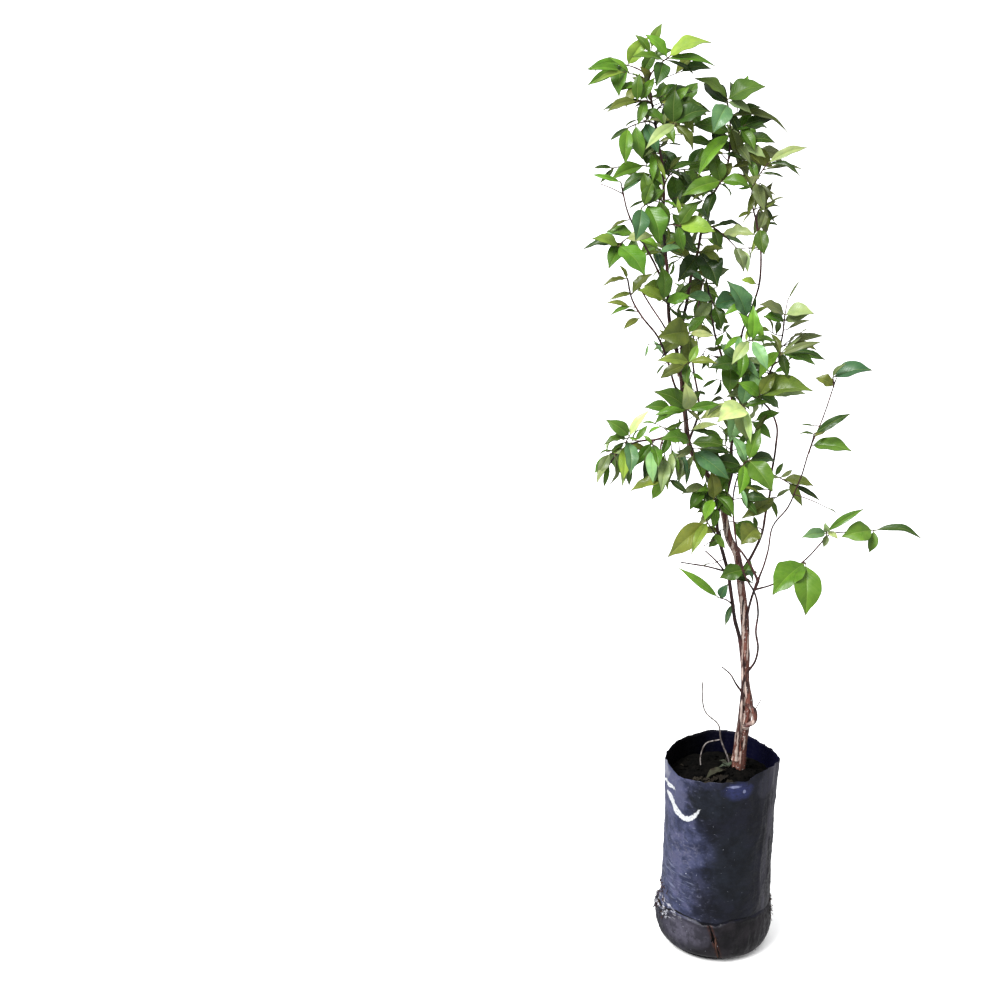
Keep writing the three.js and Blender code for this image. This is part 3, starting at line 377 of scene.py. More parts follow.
# The dry stalk that stands in the soil behind the trunk, and its side arc.
dry_stalk = [
    [9, 28, 196, 1], [9, 28, 214, 1], [-2, 31, 244, 0.9], [-5, 33, 260, 0.9], [-20, 33, 275, 0.8],
    [-26, 33, 314, 0.7],
]
dry_stalk_arc = [[-2, 31, 243, 0.8], [-19, 31, 236, 0.7], [-24, 27, 222, 0.7], [-21, 22, 200, 0.7]]

# The root that comes out through a tear in the bag's lower band.
escaped_root = [
    [4, -50, 42, 1.2], [3, -60, 38, 1.2], [3.5, -68, 33, 1.2], [5, -67.5, 22, 1.1], [7, -66, 13, 0.9],
]

# Leafy shoots: the stem, how far along it the twig leaves it, the twig's tip, and the leaves.
# A leaf is [place along the twig, lean (0 right, 90 up), degrees toward the observer, length, breadth].
shoots = {
    "top_right": ["left_leader", 0.98, [-84, -20, 1023], [
      [1, 25, 10, 44, 1.2], [1, 134, 15, 32, 0.9], [1, -4, 25, 48, 0.42], [0.95, -14, -30, 38, 0.25],
      [0.9, -104, 35, 32, 1.2], [1, 178, 30, 38, 0.6],
    ]],
    "top_left": ["left_leader", 1, [-133, 8, 1011], [
      [1, -98, 30, 40, 1], [0.8, 55, 20, 35, 1], [0.95, -172, 30, 42, 0.5], [1, -153, 0, 42, 0.5],
      [0.9, 176, -35, 42, 0.34], [0.4, 60, 30, 26],
    ]],
    "upper_left": ["left_leader", 0.91, [-114, -28, 980], [
      [1, -164, 20, 34, 0.7], [1, 90, 10, 28, 0.9], [0.6, -173, -15, 44, 0.4], [0.9, 62, -20, 28, 0.8],
      [0.6, -112, 20, 28, 0.8],
    ]],
    "upper_mid_back": ["left_leader", 0.86, [-68, 60, 964], [
      [1, 60, 0, 26, 1.2], [1, -55, 10, 30, 1.2], [1, 152, 10, 34, 1.3], [0.8, -12, -20, 34],
      [0.4, 85, -15, 30, 1.2], [0.5, -80, 0, 30, 1.1],
    ]],
    "upper_mid": ["left_leader", 0.82, [-74, -34, 960], [
      [1, -138, 30, 46, 0.6], [0.9, 88, 20, 34, 1.3], [1, 25, 15, 36, 1.2], [1, -50, 10, 32],
      [0.6, 140, 0, 28], [0.6, -60, 25, 24],
    ]],
    "left_high": ["left_leader", 0.84, [-122, -40, 956], [
      [1, -97, 15, 38, 0.8], [0.75, -80, -10, 34, 0.9], [1, -150, 0, 24, 0.5], [0.5, -70, 20, 34, 0.9],
      [0.4, 120, -20, 24, 0.8], [0.4, -105, 30, 32, 0.9],
    ]],
    "left_far": ["left_leader", 0.67, [-142, 30, 901], [
      [1, 176, 0, 20, 0.5], [0.97, -132, 10, 22, 0.5], [0.45, -160, 20, 40, 0.8], [0.35, -60, 20, 36, 0.7],
      [0.3, -100, 30, 32, 0.8], [0.5, 84, 10, 32, 1.1],
    ]],
    "mid_back": ["left_leader", 0.62, [-62, 72, 893], [
      [1, 62, 0, 28], [0.8, -50, 10, 34, 1.2], [0.7, 132, -10, 32, 1.2], [1, 5, 15, 30],
      [0.5, -80, 0, 36, 1.2], [0.4, 100, 0, 28], [1, -96, -10, 38, 1.2],
    ]],
    "mid_left": ["left_leader", 0.58, [-105, -66, 882], [
      [1, -100, 20, 34, 1.2], [0.8, -66, 25, 40, 1.4], [0.7, 98, 10, 32], [1, 70, -10, 26],
      [0.4, -75, -10, 32], [1, 40, 15, 26],
    ]],
    "mid_front": ["left_leader", 0.5, [-65, -44, 860], [
      [0.3, 170, 10, 30], [0.9, -8, 25, 38, 1.2], [1, 55, 10, 32, 1.1], [0.7, -50, -10, 32],
      [0.6, 88, -10, 36, 1.2], [1, -80, 0, 26],
    ]],
    "mid_low": ["left_leader", 0.4, [-96, 58, 812], [
      [1, 150, 10, 26], [0.8, 20, 30, 34, 1.2], [1, -150, 0, 28], [0.5, -22, 0, 38, 1.1],
      [0.7, 95, -10, 28], [1, -75, 15, 26, 1.2],
    ]],
    "left_upper_tip": ["left_upper_stem", 0.97, [-127, -42, 903], [
      [0.4, 33, 10, 32, 0.8], [1, 168, 5, 30, 0.4],
    ]],
    "left_cluster": ["left_upper_stem", 0.56, [-126, -80, 846], [
      [1, 160, 20, 28], [1, -50, 30, 42, 1.4], [0.8, -118, 25, 34, 1.1], [0.4, 165, 0, 28, 1.2],
      [1, -176, -5, 38, 0.6], [0.3, -25, 25, 26], [0.8, 12, 15, 28], [0.5, -92, -15, 30],
    ]],
    "right_top": ["right_leader", 1, [-26, 0, 981], [
      [1, 146, 15, 38, 0.8], [1, 20, 15, 40, 1.9], [1, -28, 30, 28, 0.9], [0.95, 134, -20, 36, 1.2],
      [0.98, -122, 30, 38, 1.3], [0.75, -8, 0, 62, 0.45], [0.75, 16, -30, 42, 0.3], [0.5, 14, 20, 42, 1.1],
      [0.6, -75, -20, 34, 0.9], [0.5, 165, 0, 38, 1], [0.5, -130, 25, 60, 0.55],
    ]],
    "right_top_back": ["right_leader", 0.92, [7, 68, 916], [
      [1, -20, 0, 30], [0.6, -38, 20, 36], [0.9, -85, 10, 32], [1, 120, 10, 32, 1.3], [0.5, 110, -10, 30],
      [0.3, -60, 10, 32], [0.3, 150, 0, 30, 1.1],
    ]],
    "right_middle": ["right_leader", 0.72, [-27, -26, 903], [
      [1, -163, 15, 44, 0.9], [1, -8, 15, 30, 1.4], [0.5, -110, 10, 28], [1, 104, 15, 28, 1.5],
      [1, 60, 20, 28], [0.5, 150, -15, 28],
    ]],
    "right_inner": ["right_leader", 0.61, [-9, -24, 834], [
      [0.55, -4, 20, 36], [0.35, 14, -20, 34, 0.4], [1, -66, 15, 28], [0.4, -80, 20, 26, 1.1],
      [0.3, 128, 0, 34, 1.3],
    ]],
    "right_dark": ["right_leader", 0.46, [-46, -26, 830], [
      [0.6, -56, 25, 42, 1.5], [1, 10, 0, 24, 0.8], [1, -20, -10, 26], [0.5, 150, 10, 28],
      [0.5, -125, 20, 36, 1.2],
    ]],
    "hanging_top": ["right_high_stem", 1, [18, -24, 922], [
      [1, 25, 10, 42, 0.5], [1, -16, 35, 36, 0.5], [0.85, 5, 10, 40, 0.3], [0.8, -12, 15, 24, 0.4],
      [0.75, -134, 20, 28, 0.8], [0.6, -78, 25, 34, 0.8], [0.4, -105, 10, 24, 0.6],
      [0.7, 110, -10, 26, 0.8], [0.7, -62, -15, 28, 0.7],
    ]],
    "hanging_mid": ["right_high_stem", 0.89, [15, 42, 862], [
      [1, 72, 15, 28, 0.7], [1, 6, 10, 20, 0.5], [0.8, -84, 15, 30, 0.7], [0.5, 32, -10, 24, 0.5],
      [0.7, -105, 20, 28, 0.7], [0.9, 110, 0, 26, 0.7],
    ]],
    "hanging_low": ["right_high_stem", 0.83, [13, -30, 857], [
      [1, -84, 15, 28, 1.25], [0.8, 70, 10, 24, 0.7], [0.6, -112, 20, 26, 0.4],
    ]],
    "teal_leaf": ["right_high_stem", 0.47, [4, -20, 760], [
      [1, 116, 20, 44, 1.15], [0.9, 78, -20, 38, 0.5],
    ]],
    "right_fan": ["right_high_stem", 0.25, [11, -40, 743], [
      [1, 86, 20, 36, 0.8], [1, -66, 20, 36, 0.8], [0.8, -130, 25, 32, 0.9], [0.9, 112, 15, 34, 0.7],
      [0.9, 4, 10, 28, 0.7], [0.4, -95, 15, 34, 0.8],
    ]],
    "low_left": ["left_leader", 0.23, [-81, -34, 780], [
      [1, 160, 20, 30, 1.3], [1, 92, 10, 36], [0.7, 20, 15, 26],
    ]],
    "fork_leaves": ["right_leader", 0.12, [-53, -30, 745], [
      [1, -176, 30, 38, 1.9], [1, -4, 20, 26, 0.7], [0.9, -88, 25, 32, 1.2], [0.9, 50, 0, 28],
      [0.8, -148, 0, 32, 1.2],
    ]],
    "fork_low": ["left_main_stem", 0.92, [-51, -56, 722], [
      [1, 0, 15, 28, 0.9], [1, 172, 25, 36, 0.8], [0.9, -100, 30, 26, 0.8], [0.8, -155, 0, 30, 0.9],
      [1, 60, -10, 24, 0.8],
    ]],
    "left_low": ["left_main_stem", 0.66, [-51, -60, 672], [
      [1, 96, 25, 38, 0.95], [0.9, 148, 25, 44, 0.95], [0.8, -172, 0, 34, 0.9], [0.7, 60, -10, 28, 0.8],
      [1, 14, 10, 34, 0.7], [0.5, 110, -20, 30, 0.8],
    ]],
    "far_left_tip": ["far_left_stem", 0.93, [-118, -48, 806], [
      [1, -165, 10, 26, 0.6], [1, 120, 0, 18, 0.6],
    ]],
    "far_left": ["left_inner_stem", 0.97, [-116, 6, 774], [
      [1, 48, 10, 30, 0.9], [0.9, -168, 10, 26, 0.5],
    ]],
    "mid_top": ["back_stem", 0.97, [-42, 84, 775], [
      [1, 100, 0, 28], [1, 20, 10, 28], [0.8, -150, 20, 30, 1.2], [0.8, 160, 10, 28, 1.2],
      [0.7, -60, 0, 26],
    ]],
    "mid_upper": ["mid_stem", 0.95, [-30, 0, 766], [
      [1, 12, 25, 32, 1.4], [1, -70, 20, 26, 1.3], [0.7, 165, 10, 28], [0.8, -130, 10, 30],
    ]],
    "mid_middle": ["mid_stem", 0.63, [-3, -6, 707], [
      [1, -172, 25, 32, 1.4], [0.9, 126, 15, 26, 1.1], [0.6, -95, 20, 34, 1.4], [1, 75, 10, 28],
      [0.7, -60, 0, 32, 1.2],
    ]],
    "mid_pale": ["mid_stem", 0.42, [8, -24, 664], [
      [1, -160, 35, 40, 1.7], [1, -82, 20, 38, 0.5], [0.3, -98, 25, 42, 1.1], [1, 14, 10, 26, 0.8],
      [0.8, -85, 10, 36, 1], [0.9, 78, 0, 36, 1], [0.3, -165, 20, 38, 1],
    ]],
    "big_right": ["wiry_stem", 0.97, [14, -44, 614], [
      [1, -58, 25, 42, 1.4], [1, 72, 15, 36, 0.9], [1, 0, 0, 34, 0.9], [0.8, 120, 10, 32, 0.9],
      [0.6, -100, 25, 36, 0.9], [0.5, -30, 0, 32, 0.8], [0.5, 170, 0, 34, 1],
    ]],
    "big_left": ["left_main_stem", 0.32, [-48, -46, 632], [
      [0.6, -38, 20, 48, 0.9], [1, 168, 30, 38, 1.1], [1, 0, 10, 36, 0.9], [0.7, -72, 15, 34, 0.7],
      [0.6, -122, 20, 32, 0.5], [0.6, -15, -20, 36, 1],
    ]],
    "near_fork": ["left_main_stem", 0.15, [-21, -30, 562], [
      [1, 100, 20, 32, 1.2], [1, -118, 20, 26, 1.1], [0.7, -45, 20, 34, 0.9], [0.8, 54, 0, 34, 1.1],
    ]],
    "arching_mid": ["arching_stem", 0.39, [-85, -56, 628], [
      [1, -96, 15, 38, 0.8], [0.8, -84, 30, 34, 0.8], [0.9, -104, -15, 38, 0.8], [0.5, -130, 0, 30, 0.8],
      [1, -62, 0, 30, 0.6],
    ]],
    "arching_far": ["arching_stem", 0.65, [-110, -68, 644], [
      [1, 142, 20, 30, 1.1], [1, 54, 20, 34, 0.7], [0.8, -166, 20, 28, 0.9], [0.4, -91, 10, 38, 0.8],
      [0.7, -84, 25, 38, 0.85], [0.5, -98, -15, 38, 0.7],
    ]],
    "arching_tip": ["arching_stem", 0.8, [-131, -50, 617], [
      [1, -122, 10, 30, 0.8], [0.9, -132, -15, 28, 0.8], [0.5, -95, 15, 34, 0.7], [0.3, -82, -10, 34, 0.8],
    ]],
    "arching_low": ["arching_stem", 0.25, [-67, -66, 594], [
      [0.5, -92, 20, 40, 0.75], [1, -34, 10, 24, 0.7], [1, -163, 10, 42, 0.7], [0.9, -122, 15, 34, 0.75],
      [0.5, -112, -10, 34, 0.7], [0.6, 70, 0, 28, 0.7],
    ]],
    "right_low": ["right_stem", 1, [22, -22, 677], [
      [0.7, 8, 20, 58, 1.5], [1, 150, 15, 30, 1], [1, 60, 10, 30, 1], [0.5, -110, 20, 34, 0.9],
      [0.8, -25, 0, 32, 0.9], [1, 100, -10, 30, 1], [0.4, 178, 20, 32, 1],
    ]],
    "right_arching": ["right_stem", 0.52, [59, 24, 564], [
      [0.6, -6, 10, 34, 0.8], [1, -62, 25, 30, 0.7], [1, -28, -10, 42, 0.3], [0.3, 60, 0, 18, 0.7],
    ]],
    "right_drooping": ["right_stem", 0.36, [45, 0, 556], [
      [0.9, -147, 20, 46, 0.7], [1, 35, 0, 20, 0.6], [0.4, -70, 10, 22, 0.6],
    ]],
    "round_leaf": ["right_stem", 0.18, [26, -14, 526], [
      [1, -140, 25, 27, 2.3], [1, 110, 0, 14, 0.8],
    ]],
    "right_long_tip": ["right_long_stem", 0.96, [94, -44, 708], [
      [1, 12, 20, 40, 1.4], [1, 55, 0, 24, 0.45], [0, 155, 10, 20, 1.6],
    ]],
    "right_long_mid": ["right_long_stem", 0.68, [78, -68, 655], [
      [1, 30, 15, 42, 0.5], [1, 172, 10, 16, 0.5], [0.4, -8, 20, 42, 1.15], [0.9, 25, -30, 18, 0.6],
    ]],
    "low_right": ["low_right_stem", 0.67, [97, -60, 544], [
      [1, 32, 10, 46, 0.4], [0.8, -176, 20, 28, 1], [1, 100, 20, 14, 1.1], [1, -20, 30, 14, 1],
      [0.7, -100, 25, 14, 1.1],
    ]],
    "low_right_tip": ["low_right_stem", 0.97, [148, -42, 541], [
      [1, -2, 5, 50, 0.4], [0.8, -168, 25, 36, 1.5], [1, -96, 20, 24, 1],
    ]],
    "low_right_pair": ["low_right_stem", 0.42, [78, -66, 509], [
      [0.8, -139, 25, 52, 1.3], [1, -94, 20, 54, 1.4], [0.9, -160, -30, 26, 0.5],
    ]],
    "left_trunk": ["left_stem", 0.83, [-28, -34, 539], [
      [0.9, -146, 15, 56, 0.95], [1, -120, 20, 42, 0.6], [1, 95, 15, 28, 0.9], [0.6, -60, 20, 20, 0.9],
    ]],
    "left_narrow": ["left_stem", 0.6, [-12, -26, 447], [
      [1, 146, 15, 56, 0.36], [0.9, 72, 30, 20, 1.3], [0.18, -112, 20, 24, 0.6],
    ]],
    "trunk_leaf": ["trunk", 0.72, [15, -22, 480], [
      [1, -168, 30, 28, 1.6], [1, -50, 20, 20, 1.2], [0.8, 60, 10, 18],
    ]],
    "right_side": ["right_side_stem", 0.48, [40, -34, 726], [
      [1, 20, 15, 44, 0.36], [0.9, 1, 0, 46, 0.28], [0.8, -12, 25, 38, 0.8], [0.9, 40, -20, 36, 0.22],
      [1, 110, 10, 26, 0.7], [0.6, -130, 15, 36, 0.8], [0.5, -75, 15, 30, 0.8],
    ]],
    "right_pair": ["right_side_stem", 0.9, [43, -8, 762], [
      [1, 160, 20, 30, 1.4], [1, 6, 20, 30, 1.4], [0.5, 176, 30, 26, 1.2], [0.5, 14, 30, 28, 0.9],
    ]],
}

# The fallen leaf on the soil: position, heading and length.
fallen_leaf = {"x": 5, "y": 1, "heading": 197, "length": 25}

# A leaf's finer form.
LEAF_ALONG = [
    0, 0.03, 0.06, 0.09, 0.13, 0.18, 0.24, 0.3, 0.36, 0.43, 0.5, 0.57, 0.64, 0.71, 0.77, 0.83, 0.88,
    0.92, 0.955, 0.985, 1,
]
LEAF_ACROSS = [-1, -0.92, -0.68, -0.4, -0.12, 0, 0.12, 0.4, 0.68, 0.92, 1]
SMALL_ALONG = [0, 0.05, 0.1, 0.2, 0.34, 0.48, 0.62, 0.76, 0.88, 0.95, 1]
SMALL_ACROSS = [-1, -0.55, 0, 0.55, 1]
PETIOLE_SHARE = 0.07
BLADE_THICKNESS = 0.35
PETIOLE_THICKNESS = 1.1
MIDRIB_HEIGHT = 0.6

# The leaves' greens, each a linear colour.
GREENS = {
    "Y": (0.21, 0.34, 0.045),
    "G": (0.115, 0.265, 0.02),
    "M": (0.075, 0.165, 0.016),
    "D": (0.030, 0.075, 0.010),
    "T": (0.055, 0.145, 0.055),
    "O": (0.14, 0.18, 0.028),
    "P": (0.50, 0.63, 0.24),
    "S": (0.15, 0.19, 0.07),
    "L": (0.27, 0.36, 0.14),
    "W": (0.18, 0.36, 0.14),
}

# Side growth: short twigs on the stems. Each is its share along the stem, its lean, degrees toward the
# observer and length, then its leaves as [lean, degrees toward the observer, length, breadth, green].
side_growth = {
    "left_leader": [
        [0.96, 120, 10, 8, [[108, 10, 22, 1.1, "O"], [150, 0, 18, 0.7, "O"]]],
        [0.99, 86, 15, 34, [[70, 15, 26, 0.9, "Y"], [130, 10, 24, 0.8, "G"], [20, 15, 24, 0.8, "M"]]],
        [1, 168, 20, 30, [[176, 15, 34, 0.5, "G"], [-160, 15, 34, 0.4, "Y"], [140, 10, 26, 0.5, "G"]]],
        [0.98, 22, 10, 34, [[10, 15, 30, 0.8, "D"], [45, 10, 26, 0.8, "O"]]],
        [0.93, 22, 20, 14, [[8, 10, 28, 0.9, "D"], [-22, 20, 26, 1, "G"], [60, 0, 16, 0.7, "M"]]],
        [0.88, -10, 20, 10, [[-35, 20, 24, 0.8, "O"], [30, 10, 22, 0.7, "M"]]],
        [0.86, 168, 0, 18, [[-152, 0, 16, 0.25, "D"]]],
        [0.84, -165, 10, 8, [[-122, 20, 24, 0.9, "O"]]],
        [0.82, -166, -10, 15, [[-140, 10, 20, 0.8, "T"], [-176, 0, 26, 0.4, "D"]]],
        [0.82, 2, 0, 24, [[5, 0, 10, 0.3, "D"]]],
        [0.79, 8, -10, 9, [[-8, 0, 16, 0.3, "D"]]],
        [0.76, 178, 20, 9, [[-86, 20, 32, 0.55, "G"], [-68, 15, 34, 0.35, "Y"]]],
        [0.7, 20, 0, 9, [[14, 20, 28, 0.7, "M"], [50, 0, 20, 0.6, "O"], [-30, 10, 18, 0.6, "D"]]],
        [0.66, 165, 10, 22, [[-145, 5, 26, 0.45, "T"], [-82, 15, 24, 0.7, "T"]]],
        [0.6, 170, 0, 18, [[-154, 0, 20, 0.35, "D"]]],
        [0.57, 28, 10, 10, [[62, 10, 22, 0.7, "D"], [10, 10, 20, 0.5, "O"]]],
        [0.55, 30, 15, 10, [[-62, 20, 24, 0.8, "M"]]],
        [0.52, 20, 30, 9, [[-4, 25, 32, 0.75, "W"]]],
        [0.42, 140, 30, 10, [[8, 30, 24, 0.9, "W"], [-170, 10, 18, 0.5, "O"]]],
        [0.36, 160, 20, 7, [[100, 15, 26, 0.6, "T"], [-112, 10, 18, 0.5, "M"]]],
        [0.31, 172, 20, 5, [[170, 20, 22, 1.2, "Y"], [-122, 10, 15, 0.9, "Y"]]],
        [0.29, 0, 10, 4, [[-12, 10, 20, 0.6, "M"]]],
        [0.12, 170, 15, 6, [[-150, 10, 20, 0.6, "L"], [130, 10, 18, 0.5, "O"]]],
        [0.9, 15, 25, 22, [[-5, 15, 30, 1, "M"], [40, 10, 26, 0.9, "G"], [-50, 15, 26, 0.9, "D"]]],
        [0.87, 20, -20, 34, [[0, 15, 28, 1, "D"], [-60, 20, 28, 0.9, "O"], [60, 10, 24, 0.8, "M"]]],
        [0.98, 175, 15, 12, [[-120, 15, 28, 0.9, "O"], [-160, 10, 24, 0.7, "M"]]],
    ],
    "right_leader": [
        [0.97, 60, 25, 30, [[10, 15, 30, 1.2, "D"], [-60, 20, 28, 1, "M"], [120, 10, 26, 0.9, "D"]]],
        [1, 78, 10, 42, [[70, 15, 28, 0.9, "G"], [110, 10, 28, 0.9, "D"], [20, 15, 26, 0.9, "M"]]],
        [0.95, 40, 20, 22, [[0, 20, 30, 0.9, "M"], [-50, 15, 28, 0.8, "O"], [60, 10, 24, 0.8, "G"]]],
        [0.93, 140, 20, 24, [[170, 15, 28, 0.9, "M"], [-140, 15, 24, 0.8, "G"], [100, 10, 24, 0.8, "D"]]],
        [0.38, 150, 10, 7, [[-112, 15, 26, 0.7, "L"], [108, 10, 20, 0.7, "L"]]],
        [0.42, -30, 0, 16, [[-8, 0, 16, 0.25, "D"], [-62, 0, 13, 0.35, "O"]]],
        [0.5, 20, 15, 6, [[-60, 20, 30, 1, "D"], [-38, 10, 26, 0.6, "G"]]],
        [0.58, 0, 10, 7, [[-35, 15, 20, 0.8, "G"]]],
        [0.6, 2, 10, 14, [[-22, 10, 34, 0.4, "W"]]],
        [0.62, 10, 0, 5, [[12, 0, 28, 0.2, "O"]]],
        [0.64, 178, 5, 5, [[-164, 10, 22, 0.7, "O"]]],
        [0.72, 178, 5, 5, [[-108, 10, 17, 0.8, "O"]]],
        [0.74, 168, 0, 9, [[160, 0, 17, 0.6, "D"], [-148, 0, 16, 0.6, "O"], [-100, 10, 15, 0.5, "D"]]],
        [0.78, 160, 10, 9, [[170, 10, 26, 0.55, "M"], [-150, 0, 19, 0.6, "O"]]],
        [0.84, 4, 10, 4, [[-3, 20, 30, 1, "O"]]],
        [0.9, 0, 10, 4, [[4, 15, 28, 0.55, "O"]]],
        [0.91, 150, 10, 7, [[158, 15, 22, 1, "S"], [-160, 10, 20, 0.6, "O"]]],
        [0.96, 178, 0, 4, [[-172, 10, 22, 0.6, "O"], [-20, 10, 20, 0.6, "D"]]],
        [0.98, 15, 20, 11, [[-28, 20, 30, 0.9, "L"], [-62, 20, 28, 0.7, "S"]]],
    ],
    "right_high_stem": [
        [1, 70, 10, 22, [[-60, 20, 26, 0.45, "S"], [-100, 10, 26, 0.45, "O"], [-18, 0, 20, 0.3, "O"]]],
        [0.97, 22, 0, 15, [[25, 0, 20, 0.25, "S"], [-82, 10, 26, 0.55, "O"], [-58, 10, 22, 0.45, "D"]]],
        [0.96, 178, 0, 3, [[-160, 0, 15, 0.6, "O"], [-134, 0, 15, 0.25, "O"]]],
        [0.88, 40, 0, 12, [[34, 0, 15, 0.45, "O"], [-4, 0, 14, 0.45, "M"]]],
        [0.8, -176, 10, 21, [[-70, 15, 26, 0.75, "L"]]],
        [0.79, 172, 0, 12, [[-80, 0, 12, 0.25, "D"]]],
        [0.63, 172, 0, 3, [[168, 15, 17, 1.1, "Y"]]],
        [0.53, 176, 10, 8, [[-150, 15, 26, 0.8, "G"], [150, 15, 22, 0.8, "M"]]],
        [0.46, 20, 20, 5, [[-74, 20, 34, 0.55, "G"], [32, 20, 20, 0.5, "O"]]],
        [0.36, 178, 20, 3, [[-100, 20, 28, 0.65, "W"], [-138, 10, 26, 0.6, "G"]]],
        [0.24, 0, 20, 6, [[-62, 20, 30, 0.55, "W"], [-22, 15, 24, 0.7, "L"]]],
        [0.15, 0, 20, 5, [[30, 10, 26, 0.65, "G"], [-30, 15, 24, 0.7, "L"]]],
        [0.05, 20, 15, 4, [[42, 15, 24, 0.6, "G"]]],
    ],
    "back_stem": [
        [0.98, 10, 0, 5, [[32, 0, 17, 0.25, "D"], [8, 0, 17, 0.25, "D"]]],
        [0.9, -20, 10, 5, [[-58, 15, 24, 0.8, "W"], [-92, 10, 22, 0.4, "Y"]]],
        [0.8, -160, 10, 5, [[-20, 10, 26, 0.45, "O"], [-170, 10, 20, 0.6, "Y"]]],
        [0.7, 10, 0, 4, [[22, 0, 15, 0.25, "D"], [-100, 10, 20, 0.6, "Y"]]],
    ],
    "mid_stem": [
        [0.18, -20, 20, 14, [[-30, 20, 34, 0.9, "D"], [-75, 20, 30, 0.9, "M"], [15, 10, 28, 0.8, "G"]]],
        [0.99, 104, 0, 14, [[60, 0, 15, 0.45, "D"], [140, 0, 15, 0.5, "O"], [-160, 0, 13, 0.5, "D"]]],
        [0.93, 0, 10, 4, [[-20, 15, 22, 0.9, "O"]]],
        [0.86, 0, 5, 4, [[-18, 15, 14, 1.1, "O"]]],
        [0.58, 30, 15, 5, [[-70, 15, 25, 0.9, "O"]]],
        [0.5, 0, 15, 4, [[-40, 15, 22, 0.7, "L"]]],
        [0.52, 20, 20, 22, [[10, 20, 28, 0.9, "G"], [-50, 20, 28, 0.8, "L"], [70, 15, 24, 0.8, "M"]]],
        [0.36, 15, 20, 24, [[20, 15, 28, 0.8, "G"], [-40, 15, 28, 0.9, "M"], [-90, 15, 26, 0.8, "W"]]],
        [0.3, 176, 15, 12, [[160, 15, 26, 0.8, "M"], [-140, 20, 28, 0.9, "G"]]],
        [0.46, 176, 20, 11, [[-150, 20, 27, 0.45, "L"]]],
        [0.25, 20, 20, 7, [[62, 20, 25, 0.6, "G"], [-60, 15, 26, 0.7, "M"], [10, 10, 24, 0.6, "D"]]],
        [0.15, -10, 10, 5, [[-34, 10, 20, 0.5, "O"]]],
        [0.08, -120, 15, 5, [[-118, 20, 25, 0.65, "G"], [-66, 15, 22, 0.5, "L"], [-162, 15, 23, 0.7, "G"]]],
    ],
    "trunk": [
        [0.98, 176, 20, 12, [[170, 20, 28, 0.9, "G"], [-140, 20, 26, 0.9, "L"]]],
        [0.95, -10, 25, 12, [[-20, 20, 28, 0.9, "M"], [-70, 20, 24, 0.9, "G"]]],
        [0.92, 176, 20, 10, [[-170, 20, 26, 0.8, "O"], [-120, 20, 24, 0.9, "G"]]],
    ],
    "left_main_stem": [
        [0.2, -150, 15, 10, [[-125, 20, 30, 1, "G"], [-170, 20, 28, 0.9, "L"], [-80, 15, 26, 0.8, "D"]]],
        [0.62, 20, 15, 5, [[12, 20, 28, 0.55, "P"], [-10, 15, 26, 0.5, "D"]]],
        [0.5, 0, 10, 9, [[-10, 15, 34, 0.8, "D"], [-28, 10, 30, 0.7, "M"]]],
        [0.4, 172, 0, 7, [[-104, 10, 27, 0.45, "T"], [-130, 10, 28, 0.5, "W"]]],
        [0.25, -130, 10, 4, [[-100, 10, 22, 0.5, "G"]]],
        [0.08, -100, 20, 12, [[-100, 15, 24, 0.9, "G"], [-160, 15, 24, 0.8, "O"], [-40, 15, 22, 0.8, "M"]]],
        [0.75, 176, 15, 14, [[172, 15, 30, 1, "M"], [-150, 20, 26, 0.8, "G"], [120, 15, 26, 0.8, "L"]]],
        [0.3, 10, 15, 14, [[0, 15, 30, 0.9, "M"], [-60, 15, 28, 0.8, "G"]]],
        [0.12, -130, 10, 7, [[-118, 15, 19, 0.7, "G"], [-172, 10, 19, 0.6, "O"], [-72, 10, 17, 0.5, "D"]]],
    ],
    "left_stem": [
        [0.96, 165, 10, 5, [[158, 10, 22, 0.6, "O"], [-148, 15, 24, 0.6, "G"]]],
        [0.88, -150, 0, 19, []],
        [0.8, -158, 0, 14, [[-170, 0, 12, 0.25, "D"]]],
        [0.72, 20, 15, 5, [[14, 15, 28, 0.9, "M"], [-12, 10, 23, 0.6, "D"]]],
        [0.77, 103, 0, 50, []],
    ],
    "wiry_stem": [
        [0.9, 0, 10, 6, [[-16, 5, 23, 0.3, "O"], [-70, 10, 25, 0.5, "W"]]],
        [0.84, 10, 15, 10, [[0, 15, 28, 0.9, "D"], [-45, 15, 26, 0.8, "M"]]],
    ],
    "right_stem": [
        [0.9, -170, 5, 3, [[-124, 5, 27, 0.45, "O"]]],
        [0.45, 176, 10, 4, [[176, 15, 30, 0.5, "M"]]],
        [0.38, 170, 10, 8, [[-175, 10, 18, 0.4, "O"], [150, 0, 14, 0.4, "D"]]],
    ],
    "right_side_stem": [
        [0.05, 6, 20, 10, [[2, 20, 36, 0.9, "L"]]],
        [0.5, 8, 15, 18, [[-4, 15, 34, 0.6, "M"], [22, 5, 34, 0.4, "S"]]],
        [0.62, 25, 15, 14, [[14, 15, 34, 0.5, "S"], [-10, 10, 30, 0.5, "O"]]],
        [0.99, 80, 0, 20, [[58, 0, 25, 0.18, "S"]]],
        [0.85, 10, 0, 4, [[26, 0, 27, 0.35, "S"]]],
        [0.6, 38, 0, 30, [[30, 0, 9, 0.3, "S"]]],
        [0.65, 172, 10, 5, [[-176, 10, 18, 0.6, "L"]]],
        [0.45, 176, 15, 5, [[-158, 20, 23, 0.7, "W"], [150, 15, 24, 0.6, "G"]]],
        [0.3, 165, 20, 5, [[160, 20, 25, 0.7, "L"], [-168, 15, 24, 0.6, "G"]]],
        [0.3, 10, 10, 5, [[20, 15, 20, 0.6, "G"]]],
    ],
    "far_left_stem": [
        [0.72, 176, 5, 4, [[-146, 10, 20, 0.8, "O"]]],
